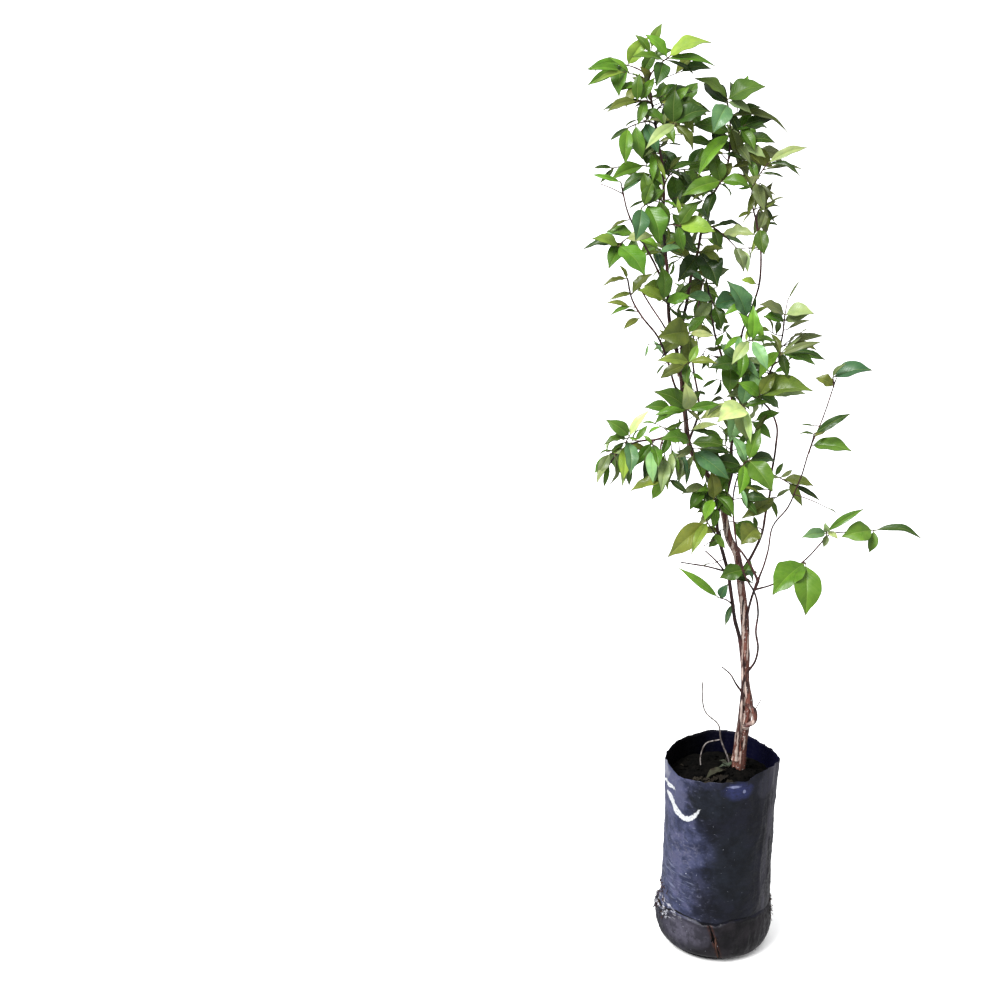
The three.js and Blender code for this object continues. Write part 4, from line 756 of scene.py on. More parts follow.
        [0.8, 172, 5, 8, [[166, 10, 24, 0.5, "O"], [-160, 10, 22, 0.5, "M"]]],
        [0.77, 176, 0, 3, [[174, 0, 13, 0.6, "D"]]],
        [0.5, 178, 0, 13, [[-100, 0, 14, 0.45, "W"]]],
        [0.36, -160, 0, 3, [[-130, 0, 16, 0.3, "D"]]],
        [0.42, 160, 0, 3, [[120, 0, 17, 0.5, "W"]]],
    ],
    "left_upper_stem": [
        [0.78, -150, 5, 3, [[-150, 5, 24, 0.45, "O"]]],
        [0.62, 170, 10, 4, [[172, 15, 30, 0.6, "W"]]],
        [0.98, 156, 0, 26, []],
    ],
    "right_long_stem": [
        [0.48, -22, 0, 38, [[-26, 0, 12, 0.25, "D"]]],
        [0.8, 176, 0, 6, [[178, 5, 14, 0.35, "D"]]],
        [0.76, 24, 5, 5, [[30, 10, 20, 0.5, "O"]]],
    ],
    "arching_stem": [
        [0.45, -80, 20, 14, [[-86, 20, 36, 0.6, "W"], [-100, 10, 38, 0.6, "D"]]],
        [0.32, -80, 15, 22, [[-88, 15, 36, 0.6, "Y"], [-112, 10, 32, 0.6, "G"]]],
        [0.22, -88, 25, 18, [[-94, 20, 32, 0.6, "L"], [-76, 10, 28, 0.5, "G"]]],
        [0.12, -85, 15, 18, [[-96, 15, 32, 0.6, "L"], [-70, 10, 28, 0.5, "T"]]],
        [0.7, -90, 10, 8, [[-95, 15, 34, 0.55, "L"], [-84, -10, 36, 0.5, "M"]]],
        [0.9, -140, 10, 6, [[-125, 15, 26, 0.7, "L"], [-100, 0, 26, 0.5, "G"]]],
    ],
    "cut_stub": [
        [0.35, 62, 10, 17, []],
    ],
}
SIDE_GROWTH_ROOM = 1.2
SIDE_GROWTH_TRIES = [(0, 0), (0, 15), (0, -15), (10, 8), (-10, -8), (0, 32), (0, -32), (14, 45), (-14, -45)]

# Young growth: how much of it there is, its room and its greens.
YOUNG_SEED = 77
YOUNG_PER_SHOOT = 2
YOUNG_TRIES = 8
YOUNG_ROOM = 2.2
YOUNG_LOWEST = 590
YOUNG_GREENS = "OOGDMMGSYL"

# What a young leaf's lean, degrees toward the observer, length, breadth and roll are drawn from.
YOUNG_RANGES = [(0, 360), (-45, 45), (13, 26), (0.4, 0.8), (-75, 75)]

SIDE_TWIG_STEP = 24
SIDE_TWIG_LENGTH = (7, 18)
SIDE_TWIG_GIRTH = 0.62
SIDE_TWIG_SPOTS = [12, 9, 6]

# Shoots that carry no young leaves, and the stems that carry seeded side twigs.
sparse_shoots = (
    "left_upper_tip", "far_left_tip", "far_left", "round_leaf", "right_long_tip", "right_long_mid",
    "low_right", "low_right_tip", "low_right_pair", "left_trunk", "left_narrow", "trunk_leaf", "right_pair",
    "right_drooping", "right_inner", "hanging_low", "hanging_mid", "right_side", "left_cluster",
    "top_left", "top_right",
)
leafy_stems = (
    "left_leader", "right_leader", "mid_stem", "back_stem", "left_main_stem", "right_side_stem",
    "arching_stem",
)

# One green for each leaf of a shoot, in the order of the shoot's leaves.
leaf_greens = {
    "top_right": "YGGDDG",
    "top_left": "GYGGDM",
    "upper_left": "OGDGM",
    "upper_mid_back": "MGDOMD",
    "upper_mid": "PMDOMG",
    "left_high": "GMDTOM",
    "left_far": "DDGGMM",
    "mid_back": "DMDMMDD",
    "mid_left": "TGMMGM",
    "mid_front": "GYMDDG",
    "mid_low": "MGMOMD",
    "left_upper_tip": "DG",
    "left_cluster": "YGGMDGLM",
    "right_top": "YMLDWODGOMG",
    "right_top_back": "SOSMLOM",
    "right_middle": "GGDMOM",
    "right_inner": "LDLMD",
    "right_dark": "DOOMD",
    "hanging_top": "LDSDSSOMO",
    "hanging_mid": "OSSOSO",
    "hanging_low": "MSO",
    "teal_leaf": "TY",
    "right_fan": "GWLGMG",
    "low_left": "YMG",
    "fork_leaves": "OPOMO",
    "fork_low": "OOMOY",
    "left_low": "PMGMGM",
    "far_left_tip": "OO",
    "far_left": "OO",
    "mid_top": "MSOTM",
    "mid_upper": "TMWS",
    "mid_middle": "DWMGG",
    "mid_pale": "PPWGLWP",
    "big_right": "MGDWGGD",
    "big_left": "TMMGLM",
    "near_fork": "OGGM",
    "arching_mid": "WGLGY",
    "arching_far": "MPMYWG",
    "arching_tip": "LGLG",
    "arching_low": "LDOGTG",
    "right_low": "YGOLMWL",
    "right_arching": "OODM",
    "right_drooping": "OSM",
    "round_leaf": "OM",
    "right_long_tip": "TSO",
    "right_long_mid": "DDMO",
    "low_right": "MWLPL",
    "low_right_tip": "DMM",
    "low_right_pair": "GGM",
    "left_trunk": "OYMM",
    "left_narrow": "GTT",
    "trunk_leaf": "MTM",
    "right_side": "SDMSOGM",
    "right_pair": "SLGS",
}

# Where the bark has peeled off the front: [x, z, half width, half height].
peeled_spots = [
    [19.5, 300, 1.3, 16], [20.5, 280, 1.2, 9], [28, 278, 8, 3.2], [33.5, 285, 2, 7], [30.5, 293, 1.4, 5],
    [16.5, 247, 2, 10], [17.5, 238, 2.6, 5], [17, 262, 1.2, 14], [24.5, 258, 1, 10], [21, 240, 1, 9],
    [18.6, 345, 1.2, 10], [17.4, 380, 1.1, 22], [21.8, 328, 1.2, 7], [23, 378, 0.8, 18], [16.8, 418, 1.3, 16],
    [12, 448, 1.5, 9], [2, 486, 2.6, 9], [8, 468, 1.4, 10], [-6, 520, 1.2, 12], [-13, 540, 1.4, 8],
    [1, 500, 1.4, 6],
]

# Stems that are thinner than in the frame, each with its share of the frame's thickness.
thinned_stems = {
    "right_long_stem": 0.72,
    "knob_stem": 0.9,
    "crossing_stem": 0.9,
    "wiry_stem": 0.9,
    "low_right_stem": 0.8,
}

# The bag's wall from the bottom up: [radius, height].
bag_profile = [
    [FLAT_BOTTOM_RADIUS, 0],
    [HALF_BAG - 4.5, 5],
    [HALF_BAG - 0.2, 17],
    [HALF_BAG + 0.9, 32],
    [HALF_BAG + 0.5, 46],
    [HALF_BAG - 1.2, BAND_HEIGHT],
    [HALF_BAG - 1.1, 64],
    [HALF_BAG - 0.9, 100],
    [HALF_BAG - 0.5, 150],
    [HALF_BAG - 0.2, SOIL_TOP],
    [HALF_BAG + 0.2, BAG_HEIGHT],
]

# The painted highlight on the film, where a curved fold would catch the light, a hook and a streak: [distance
# round, height, half width].
highlight_hook = [
    [-80, 204, 2.6], [-73, 199, 4.2], [-67, 194, 4.6], [-60, 188.6, 4.2], [-53, 185.2, 3.6],
    [-46, 185.4, 3.0], [-40, 188.6, 2.6], [-34.5, 194.5, 2.0], [-30, 202.5, 0.9],
]
highlight_streak = [[-99, 211.5, 0.8], [-89, 213.5, 2.4], [-79, 214.4, 2.8], [-71, 214.4, 1.8], [-65, 214, 0.6]]


# Seeded draws and smooth noise.
WORD = 0xFFFFFFFF


def seeded_draw(seed):
    """A function that draws numbers from a range, by the same rule as the frame's own draws."""
    state = seed & WORD

    def draw(low=0.0, high=1.0):
        nonlocal state
        state = (state + 0x6D2B79F5) & WORD
        t = ((state ^ (state >> 15)) * (state | 1)) & WORD
        t ^= (t + (t ^ (t >> 7)) * (t | 61)) & WORD
        share = ((t ^ (t >> 14)) & WORD) / (WORD + 1)
        return low + (high - low) * share

    return draw


def value_noise(points, seed=0):
    """Smooth noise from -1 to 1 at each of the points, with features about one unit wide."""
    points = np.asarray(points, float)
    cells = np.floor(points).astype(np.int64)
    rest = points - cells
    ease = rest * rest * (3 - 2 * rest)
    total = np.zeros(len(points))
    for corner in itertools.product((0, 1), repeat=3):
        x, y, z = (cells + corner).T
        mixed = x * 73856093 ^ y * 19349663 ^ z * 83492791 ^ seed * 2654435761
        mixed = ((mixed ^ (mixed >> 13)) * 1274126177) & 0x7FFFFFFF
        value = ((mixed >> 8) & 0xFFFF) / 32767.5 - 1
        weight = np.prod(np.where(np.array(corner) == 1, ease, 1 - ease), axis=1)
        total += value * weight
    return total


def layered_noise(points, layers=3, seed=0):
    """Noise with finer and weaker layers added."""
    points = np.asarray(points, float)
    return sum(value_noise(points * 2**n, seed + n) * 0.55**n for n in range(layers))


def noise_ridges(points, seed, sharpness):
    """Ridges from 0 to 1, along the lines where layered noise passes zero."""
    return np.clip(1 - np.abs(layered_noise(points, 2, seed)) * sharpness, 0, 1)


def smooth_step(low, high, value):
    share = np.clip((np.asarray(value, float) - low) / (high - low), 0, 1)
    return share * share * (3 - 2 * share)


def hump(value, middle, width):
    """1 at the middle, falling off over a width on both sides."""
    return np.exp(-(((value - middle) / width) ** 2))


# Places and directions.
def unit(vector):
    return vector / np.linalg.norm(vector)


def vectors(amounts, direction):
    """One vector for each amount, in a direction."""
    return amounts[..., None] * direction


def around(angle, reach, z):
    """The points at angles round the bag, reaches from its middle and heights."""
    return np.stack(np.broadcast_arrays(np.cos(angle) * reach, np.sin(angle) * reach, z), axis=-1)


def ring_angles(sides):
    return np.arange(sides) / sides * 2 * math.pi


def distance_along(points):
    """How far along a route each of its points lies."""
    return np.concatenate([[0], np.cumsum(np.linalg.norm(np.diff(points[:, :3], axis=0), axis=1))])


# Faces.
def stacked_faces(count, sides):
    """Faces between rings, from the lowest ring up on the outside."""
    faces = []
    for n, i in itertools.product(range(count - 1), range(sides)):
        low, high, j = n * sides, (n + 1) * sides, (i + 1) % sides
        faces.append((low + i, low + j, high + j, high + i))
    return faces


def closed_stack(count, sides):
    """Faces of a closed stack of rings. The middles of its first and last ring come after the rings."""
    faces = stacked_faces(count, sides)
    low = count * sides
    last = low - sides
    faces += [(low, (i + 1) % sides, i) for i in range(sides)]
    faces += [(low + 1, last + i, last + (i + 1) % sides) for i in range(sides)]
    return faces


def sheet_faces(rows, columns):
    """Faces of a thin closed sheet: a grid of corners, the same grid on the other side, and the rim."""
    size = rows * columns
    faces = []
    for n, m in itertools.product(range(rows - 1), range(columns - 1)):
        a = n * columns + m
        b, c, d = a + 1, a + columns + 1, a + columns
        faces += [(a, b, c, d), (size + a, size + d, size + c, size + b)]
    rim = [*range(columns - 1), *range(columns - 1, size - 1, columns)]
    rim += [*range(size - 1, size - columns, -1), *range(size - columns, 0, -columns)]
    faces += [(a, size + a, size + b, b) for a, b in zip(rim, rim[1:] + rim[:1])]
    return faces


# Tubes.
def smooth_route(points, step):
    """A route's points, [x, y, z, radius], joined by a smooth curve and spaced a step apart."""
    points = np.array(points, float)
    gaps = np.linalg.norm(np.diff(points[:, :3], axis=0), axis=1)
    slopes = np.diff(points, axis=0) / gaps[:, None]
    before, after = gaps[:-1, None], gaps[1:, None]
    middle = (slopes[:-1] * after + slopes[1:] * before) / (before + after)
    tangents = np.vstack([slopes[:1], middle, slopes[-1:]])
    found = []
    for n, gap in enumerate(gaps):
        count = max(math.ceil(gap / step), 1)
        t = (np.arange(count) / count)[:, None]
        found.append(
            (2 * t**3 - 3 * t**2 + 1) * points[n]
            + (t**3 - 2 * t**2 + t) * gap * tangents[n]
            + (3 * t**2 - 2 * t**3) * points[n + 1]
            + (t**3 - t**2) * gap * tangents[n + 1]
        )
    return np.vstack([*found, points[-1:]])


def tube(route, sides, relief=None):
    """A closed tube along a route of [x, y, z, radius], with a rounded tip: its points, faces and radii."""
    centres, radii = route[:, :3], route[:, 3]
    distance = distance_along(route)
    alongs = np.gradient(centres, axis=0)
    angles = ring_angles(sides)
    across = np.array([1.0, 0, 0]) if abs(unit(alongs[0])[0]) < 0.8 else np.array([0, 1.0, 0])
    rings = []
    for n, centre in enumerate(centres):
        along = unit(alongs[n])
        across = unit(across - along * across.dot(along))
        size = np.full(sides, radii[n])
        if relief is not None:
            size = size + relief(angles, distance[n], radii[n])
        turned = vectors(np.cos(angles), across) + vectors(np.sin(angles), np.cross(along, across))
        rings.append(centre + size[:, None] * turned)
    tip = centres[-1] + unit(alongs[-1]) * radii[-1] * 0.8
    points = np.vstack([*rings, centres[:1], tip[None]])
    girth = np.concatenate([np.repeat(radii, sides), radii[:1], radii[-1:]])
    return points, closed_stack(len(rings), sides), girth


# Pieces.
ATTRIBUTE_KINDS = {1: ("FLOAT", "value"), 3: ("FLOAT_VECTOR", "vector"), 4: ("FLOAT_COLOR", "color")}


def place_piece(name, mesh, finishes, slot, *nodes):
    """Puts a piece in the scene, on the one body, with its finishes and the nodes that it stands for."""
    piece = bpy.data.objects.new(name, mesh)
    bpy.context.scene.collection.objects.link(piece)
    for finish in finishes:
        mesh.materials.append(finish)
    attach(piece, "root")
    if nodes:
        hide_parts(*nodes)


class Piece:
    """Gathers the points, faces and point values of one piece, in millimetres."""

    def __init__(self):
        self.points = []
        self.faces = []
        self.kinds = []
        self.values = {}
        self.count = 0

    def add(self, points, faces, kind=0, **values):
        """Adds a part. Its kind is the place of its finish in the piece's list of finishes."""
        points = np.asarray(points, float)
        self.faces.extend(tuple(corner + self.count for corner in face) for face in faces)
        self.kinds.extend([kind] * len(faces))
        self.points.append(points)
        for name, value in values.items():
            self.values.setdefault(name, []).append((self.count, np.asarray(value, float)))
        self.count += len(points)

    def add_tube(self, route, sides, relief=None, kind=0):
        points, faces, girth = tube(route, sides, relief)
        self.add(points, faces, kind, girth=girth)

    def mesh(self, name, crease_angle=CREASE_ANGLE):
        mesh = bpy.data.meshes.new(name)
        mesh.from_pydata(np.vstack(self.points) * METRES, [], self.faces)
        for value_name, given in self.values.items():
            width = given[0][1].shape[1] if given[0][1].ndim > 1 else 1
            kind, key = ATTRIBUTE_KINDS[width]
            full = np.zeros((self.count, width), np.float32)
            for start, value in given:
                full[start : start + len(value)] = value.reshape(len(value), width)
            mesh.attributes.new(value_name, kind, "POINT").data.foreach_set(key, full.ravel())
        mesh.polygons.foreach_set("material_index", np.array(self.kinds, np.int32))
        mesh.update()
        mesh.shade_smooth()
        mesh.set_sharp_from_angle(angle=math.radians(crease_angle))
        return mesh

    def place(self, name, finishes, slot, *nodes, crease_angle=CREASE_ANGLE):
        place_piece(name, self.mesh(name, crease_angle), finishes, slot, *nodes)


# Leaf placing, by the same rule as the frame's.
pitch = math.radians(OBSERVER_PITCH)
turn = math.radians(OBSERVER_TURN)
view_right = np.array([math.cos(turn), math.sin(turn), 0])
view_up = np.array([-math.sin(turn) * math.sin(pitch), math.cos(turn) * math.sin(pitch), math.cos(pitch)])
view_back = np.array([math.sin(turn) * math.cos(pitch), -math.cos(turn) * math.cos(pitch), math.sin(pitch)])

TEST_SHARES = np.repeat([0.2, 0.34, 0.48, 0.62, 0.76, 0.9, 1], 3)
TEST_ACROSS = np.tile([-0.85, 0, 0.85], 7)
ROUTE_TEST_STEP = 3

# A leaf that touches something is tried smaller, and turned by these degrees: [toward the observer, roll].
LEAF_SIZES = [1, 0.82, 0.66]
TRIES = [
    (0, 0), (12, 10), (-12, -10), (24, 0), (-24, 0), (0, 35), (0, -35), (36, 20), (-36, -20), (48, 0),
    (-48, 0), (24, 50), (-24, -50), (60, 20), (-60, -20),
]


def point_along(points, share):
    """A point on a route a given share of the way along it, with the route's direction there."""
    points = np.array(points, float)
    steps = np.linalg.norm(np.diff(points[:, :3], axis=0), axis=1)
    rest = share * steps.sum()
    for n, step in enumerate(steps):
        if rest <= step or n == len(steps) - 1:
            t = min(rest / step, 1)
            a, b = points[n, :3], points[n + 1, :3]
            return a + (b - a) * t, unit(b - a)
        rest -= step


def twig_bends(stem_name, share, tip):
    """The three points that a twig's curve bends by: it leaves its stem in the stem's own direction."""
    start, along = point_along(stems[stem_name], share)
    end = np.array(tip, float)
    reach = np.linalg.norm(end - start)
    return start, start + along * reach * 0.35, end


def twig_route(bends, parts):
    """A twig's points along its curve, with the radius at each."""
    start, bend, end = bends
    t = (np.arange(parts + 1) / parts)[:, None]
    points = start * (1 - t) ** 2 + bend * 2 * t * (1 - t) + end * t**2
    radii = TWIG_RADIUS + (TWIG_TIP_RADIUS - TWIG_RADIUS) * t
    return np.hstack([points, radii])


def route_points(points):
    """Points along a stem or twig, a few millimetres apart, each with its radius."""
    points = np.array(points, float)
    found = []
    for a, b in zip(points, points[1:]):
        steps = max(math.ceil(np.linalg.norm(b[:3] - a[:3]) / ROUTE_TEST_STEP), 1)
        found.extend(a + (b - a) * (i / steps) for i in range(steps))
    found.append(points[-1])
    return np.array(found)


def seen_direction(lean, toward):
    """A direction by its lean in the observer's view and its degrees toward the observer."""
    lean, toward = math.radians(lean), math.radians(toward)
    flat = math.cos(toward)
    return view_right * math.cos(lean) * flat + view_up * math.sin(lean) * flat + view_back * math.sin(toward)


def leaf_pose(base, lean, toward, length, breadth, roll):
    """A leaf's pose: its base, the way it points, its face, its length and its half breadth."""
    along = seen_direction(lean, toward)
    roll = math.radians(roll)
    sky = np.array([0, 0, FACE_UP]) + view_back * FACE_FRONT
    face = unit(sky - along * sky.dot(along))
    face = face * math.cos(roll) + np.cross(along, face) * math.sin(roll)
    side = np.cross(along, face)
    half = length * LEAF_BREADTH * breadth * 0.5
    return {"base": base, "along": along, "face": face, "side": side, "length": length, "half": half}


def leaf_test_points(pose):
    """Test points spread over a leaf."""
    widths = pose["half"] * np.minimum(np.minimum(TEST_SHARES / 0.36, 1), (1 - TEST_SHARES) / 0.4)
    widths = np.maximum(widths, 0)
    rise = BLADE_ARCH * pose["length"] * 4 * TEST_SHARES * (1 - TEST_SHARES)
    rise = rise + np.abs(TEST_ACROSS) * widths * BLADE_FOLD
    along = vectors(TEST_SHARES * pose["length"], pose["along"])
    return pose["base"] + along + vectors(rise, pose["face"]) + vectors(TEST_ACROSS * widths, pose["side"])


def is_near(tests, points, room):
    """Which test points lie within their room of which points."""
    return np.linalg.norm(tests[:, None] - points, axis=2) <= room


def is_near_route(tests, route, room):
    """Which test points lie within a room of the surface of a tube through a route's points."""
    return is_near(tests, route[:, :3], route[:, 3] + room)


def place_leaves():
    """Every shoot's bends, and its leaves that have room: the number and the pose of each."""
    draw = seeded_draw(LEAF_SEED)
    wood = np.vstack([route_points(points) for points in stems.values()])
    bends = {name: twig_bends(stem, share, tip) for name, (stem, share, tip, _) in shoots.items()}
    routes = {name: route_points(twig_route(each, TWIG_PARTS)) for name, each in bends.items()}
    twigs = np.vstack(list(routes.values()))
    twig_owners = np.repeat(list(routes), [len(route) for route in routes.values()])
    taken, taken_owners = np.zeros((0, 3)), np.array([], dtype=str)
    number = np.arange(len(TEST_SHARES))[:, None]

    def is_clear(tests, name):
        if is_near_route(tests, wood, STEM_ROOM).any():
            return False
        own_twig = (twig_owners == name) & (number < NEAR_TWIG)
        if (is_near_route(tests, twigs, TWIG_ROOM) & ~own_twig).any():
            return False
        own_room = np.where(number < NEAR_LEAVES, LEAF_ROOT_ROOM, SHOOT_LEAF_ROOM)
        return not is_near(tests, taken, np.where(taken_owners == name, own_room, LEAF_ROOM)).any()

    placed = {}
    for name, (_, _, _, leaves) in shoots.items():
        placed[name] = []
        route = twig_route(bends[name], TWIG_PARTS)
        for index, (share, lean, toward, length, *rest) in enumerate(leaves):
            breadth = rest[0] if rest else 1
            place = max(min(share, LEAF_LAST) - index * LEAF_STEP, LEAF_FIRST)
            base, _ = point_along(route, place)
            roll = draw(-LEAF_ROLL, LEAF_ROLL)
            for shrink, (more, turned) in itertools.product(LEAF_SIZES, TRIES):
                pose = leaf_pose(base, lean, toward + more, length * shrink, breadth, roll + turned)
                tests = leaf_test_points(pose)
                if is_clear(tests, name):
                    placed[name].append((index, pose))
                    taken = np.vstack([taken, tests])
                    taken_owners = np.append(taken_owners, [name] * len(tests))
                    break
    return bends, placed


# Leaves.
def leaf_outline(share):
    """The half breadth of the blade at each share along the leaf, from 0 to 1: an ellipse with a drip tip."""
    along = np.clip((share - PETIOLE_SHARE) / (1 - PETIOLE_SHARE), 0, 1)
    body = np.sin(math.pi * along**0.84) ** 0.84
    drip = 1 - 0.32 * smooth_step(0.74, 0.94, along) * (1 - smooth_step(0.94, 1.0, along))
    return body * drip


def leaf_habit(draw, green, size):
    """The numbers that make one leaf differ from the next."""
    habit = {name: draw(low, high) for name, (low, high) in leaf_habits.items()}
    red, mid, blue = (part * habit["tint"] for part in GREENS[green])
    habit["colour"] = (red * habit["warm"], mid, blue)
    habit["seed"] += size * 0.01
    return habit


def add_leaf(piece, pose, habit, twig_curve, grid=(LEAF_ALONG, LEAF_ACROSS)):
    """Adds one leaf, rooted on the nearest point of its twig's curve."""
    along, across = np.meshgrid(*grid, indexing="ij")
    base, length, half = pose["base"], pose["length"], pose["half"]
    blade = smooth_step(PETIOLE_SHARE * 0.6, PETIOLE_SHARE * 1.6, along)
    slim = 1 - 0.1 * smooth_step(0.22, 0.37, half / length)
    width = np.maximum(half * slim * leaf_outline(along), PETIOLE_WIDTH / 2 * (1 - blade) + 0.08)
    spread, out = across * width, np.abs(across)
    wave = np.sin(2 * math.pi * (habit["waves"] * along + habit["phase"]) + (across > 0) * habit["uneven"])
    bow = BLADE_ARCH * habit["arch"] * 4 * along * (1 - along)
    bow = bow - habit["droop"] * smooth_step(0.55, 1.15, along)
    cup = (out - 0.35 * out**2) * habit["fold"] + wave * out**2 * habit["wave"]
    twist = habit["twist"] * along
    sideways = spread * np.cos(twist) + habit["swing"] * length * along**2
    upward = bow * length + cup * width * blade + spread * np.sin(twist)

    root = twig_curve[np.argmin(np.linalg.norm(twig_curve - base, axis=1))]
    settle = (1 - np.clip(along / 0.5, 0, 1)) ** 2
    middle = base + vectors(along * length, pose["along"]) + vectors(settle, root - base)
    middle = middle + vectors(sideways, pose["side"])
    stalk = PETIOLE_THICKNESS * np.sqrt(np.clip(1 - across**2, 0, 1)) * (1 - blade)
    thick = (stalk + BLADE_THICKNESS * blade) / 2 + 0.1
    groove = 0.28 * hump(spread, 0, 0.5) * blade
    rib = MIDRIB_HEIGHT * (1 - 0.8 * along) * hump(spread, 0, 0.75) * blade
    top = middle + vectors(upward - groove + thick, pose["face"])
    under = middle + vectors(upward - rib - thick, pose["face"])

    size = along.size
    facing = np.repeat([1.0, 0.0], size)
    piece.add(
        np.vstack([top.reshape(-1, 3), under.reshape(-1, 3)]),
        sheet_faces(*along.shape),
        leaf_place=np.column_stack([np.tile(across.ravel(), 2), np.tile(along.ravel(), 2), facing]),
        leaf_width=np.tile(width.ravel(), 2),
        leaf_colour=np.tile([*habit["colour"], 1], (size * 2, 1)),
        leaf_seed=np.full(size * 2, habit["seed"]),
    )


def make_shoots(bends, placed, leaf, bark):
    """One piece for each leafy shoot: its twig and its leaves."""
    smooth_stems = {name: smooth_route(points, 2)[:, :3] for name, points in stems.items()}
    for order, (name, poses) in enumerate(placed.items()):
        draw = seeded_draw(SHOOT_SEED + order)
        piece = Piece()
        start, bend, end = bends[name]
        stem = smooth_stems[shoots[name][0]]
        start = stem[np.argmin(np.linalg.norm(stem - start, axis=1))]
        route = twig_route((start, bend, end), SHOOT_TWIG_PARTS)
        route[:, 3] *= 0.85 + 0.15 * (1 - np.linspace(0, 1, len(route)))
        route[:, 3] *= 1 + 0.22 * hump(np.linspace(0, 4, len(route)) % 1, 0.5, 0.12)
        piece.add_tube(route, TWIG_SIDES, kind=1)
        curve = twig_route((start, bend, end), 60)[:, :3]
        for index, pose in poses:
            add_leaf(piece, pose, leaf_habit(draw, leaf_greens[name][index], pose["length"]), curve)
        piece.place(f"{name}_leaves", [leaf, bark], "leaf", f"{name}_shoot")


# Side growth and young growth: the small leaves and short twigs that fill the crown.
class Crown:
    """The stems, twigs and leaves placed so far, to keep new growth clear of them."""

    def __init__(self, bends, placed):
        self.wood = np.vstack([route_points(points) for points in stems.values()])
        self.twigs = np.vstack([route_points(twig_route(each, 4)) for each in bends.values()])
        self.leaves = np.vstack([leaf_test_points(pose) for poses in placed.values() for _, pose in poses])

    def is_clear(self, points, room, skip):
        """Whether the points after the first few keep their room from leaves, stems and twigs."""
        tests = points[skip:]
        return not (
            is_near(tests, self.leaves, room).any()
            or is_near_route(tests, self.wood, room / 2).any()
            or is_near_route(tests, self.twigs, room / 3).any()
        )

    def add_first_clear(self, poses, room):
        """Takes the first of the poses that is clear, if there is one."""
        for pose in poses:
            tests = leaf_test_points(pose)
            if self.is_clear(tests, room, 6):
                self.leaves = np.vstack([self.leaves, tests])
                return pose
        return None


def place_side_growth(crown):
    """The side twigs of each stem in the table, with the leaves that have room."""
    found = {}
    for name, twigs in side_growth.items():
        found[name] = []
        for share, lean, toward, length, leaves in twigs:
            start, _ = point_along(stems[name], share)
            out = seen_direction(lean, toward)
            bend = start + (out * 0.5 + view_up * 0.06) * length
            line = twig_route((start, bend, start + out * length), SIDE_TWIG_PARTS)
            poses = []
            for order, (leaf_lean, leaf_toward, size, breadth, green) in enumerate(leaves):
                base = line[SIDE_TWIG_PARTS - order * 2, :3]
                tries = (
                    leaf_pose(base, leaf_lean + more, leaf_toward + turned, size * shrink, breadth, turned)
                    for shrink, (more, turned) in itertools.product((1, 0.8), SIDE_GROWTH_TRIES)
                )
                pose = crown.add_first_clear(tries, SIDE_GROWTH_ROOM)
                if pose:
                    poses.append((pose, green))
            found[name].append((line, poses))
    return found


def place_young_growth(crown, bends):
    """Small leaves on the fuller shoots' twigs, and seeded side twigs with small leaves on the stems."""
    draw = seeded_draw(YOUNG_SEED)

    def young_leaves(bases):
        """A small leaf at each base that has room for one, each with its green."""
        found = []
        for base in bases:
            tries = [[draw(*each) for each in YOUNG_RANGES] for _ in range(YOUNG_TRIES)]
            pose = crown.add_first_clear([leaf_pose(base, *each) for each in tries], YOUNG_ROOM)
            green = YOUNG_GREENS[int(draw() * len(YOUNG_GREENS))]
            if pose:
                found.append((pose, green))
        return found

    young = {}
    for name, each in bends.items():
        route = twig_route(each, 40)[:, :3]
        count = 0 if name in sparse_shoots else YOUNG_PER_SHOOT
        young[name] = (young_leaves([route[round(draw(8, 39))] for _ in range(count)]), route)

    side_twigs = {}
    for name in leafy_stems:
        route = smooth_route(stems[name], SIDE_TWIG_STEP)
        side_twigs[name] = []
        for n in range(1, len(route) - 1):
            start, along = route[n, :3], unit(route[n + 1, :3] - route[n, :3])
            spin, reach = math.radians(draw(0, 360)), draw(*SIDE_TWIG_LENGTH)
            out = unit(np.cross(along, [math.cos(spin), math.sin(spin), 0.3]))
            tip = start + (out + along * draw(0.2, 0.9)) * reach
            line = twig_route((start, start + out * reach * 0.5, tip), SIDE_TWIG_PARTS)
            if start[2] < YOUNG_LOWEST or not crown.is_clear(line[:, :3], SIDE_GROWTH_ROOM, 4):
                continue
            spots = SIDE_TWIG_SPOTS[: 1 + round(draw(0, 2))]
            side_twigs[name].append((line, young_leaves(line[spots, :3])))
    return young, side_twigs


def make_small_growth(side, young, side_twigs, leaf, bark):
    """The small leaves of each shoot, and the side twigs of each stem with their leaves."""
    draw = seeded_draw(YOUNG_SEED + 1)

    def add_leaves(piece, poses, curve):
        for pose, green in poses:
            add_leaf(piece, pose, leaf_habit(draw, green, pose["length"]), curve, (SMALL_ALONG, SMALL_ACROSS))

    for name, (poses, curve) in young.items():
        if poses:
            piece = Piece()
            add_leaves(piece, poses, curve)
            piece.place(f"{name}_young", [leaf, bark], "leaf")
    for kind, growth in (("side_growth", side), ("side_twigs", side_twigs)):
        for name, found in growth.items():
            piece = Piece()
            for line, poses in found:
                line[:, 3] *= SIDE_TWIG_GIRTH
                piece.add_tube(line, SIDE_TWIG_SIDES, kind=1)
                add_leaves(piece, poses, line[:, :3])
            if found:
                piece.place(f"{name}_{kind}", [leaf, bark], "leaf")


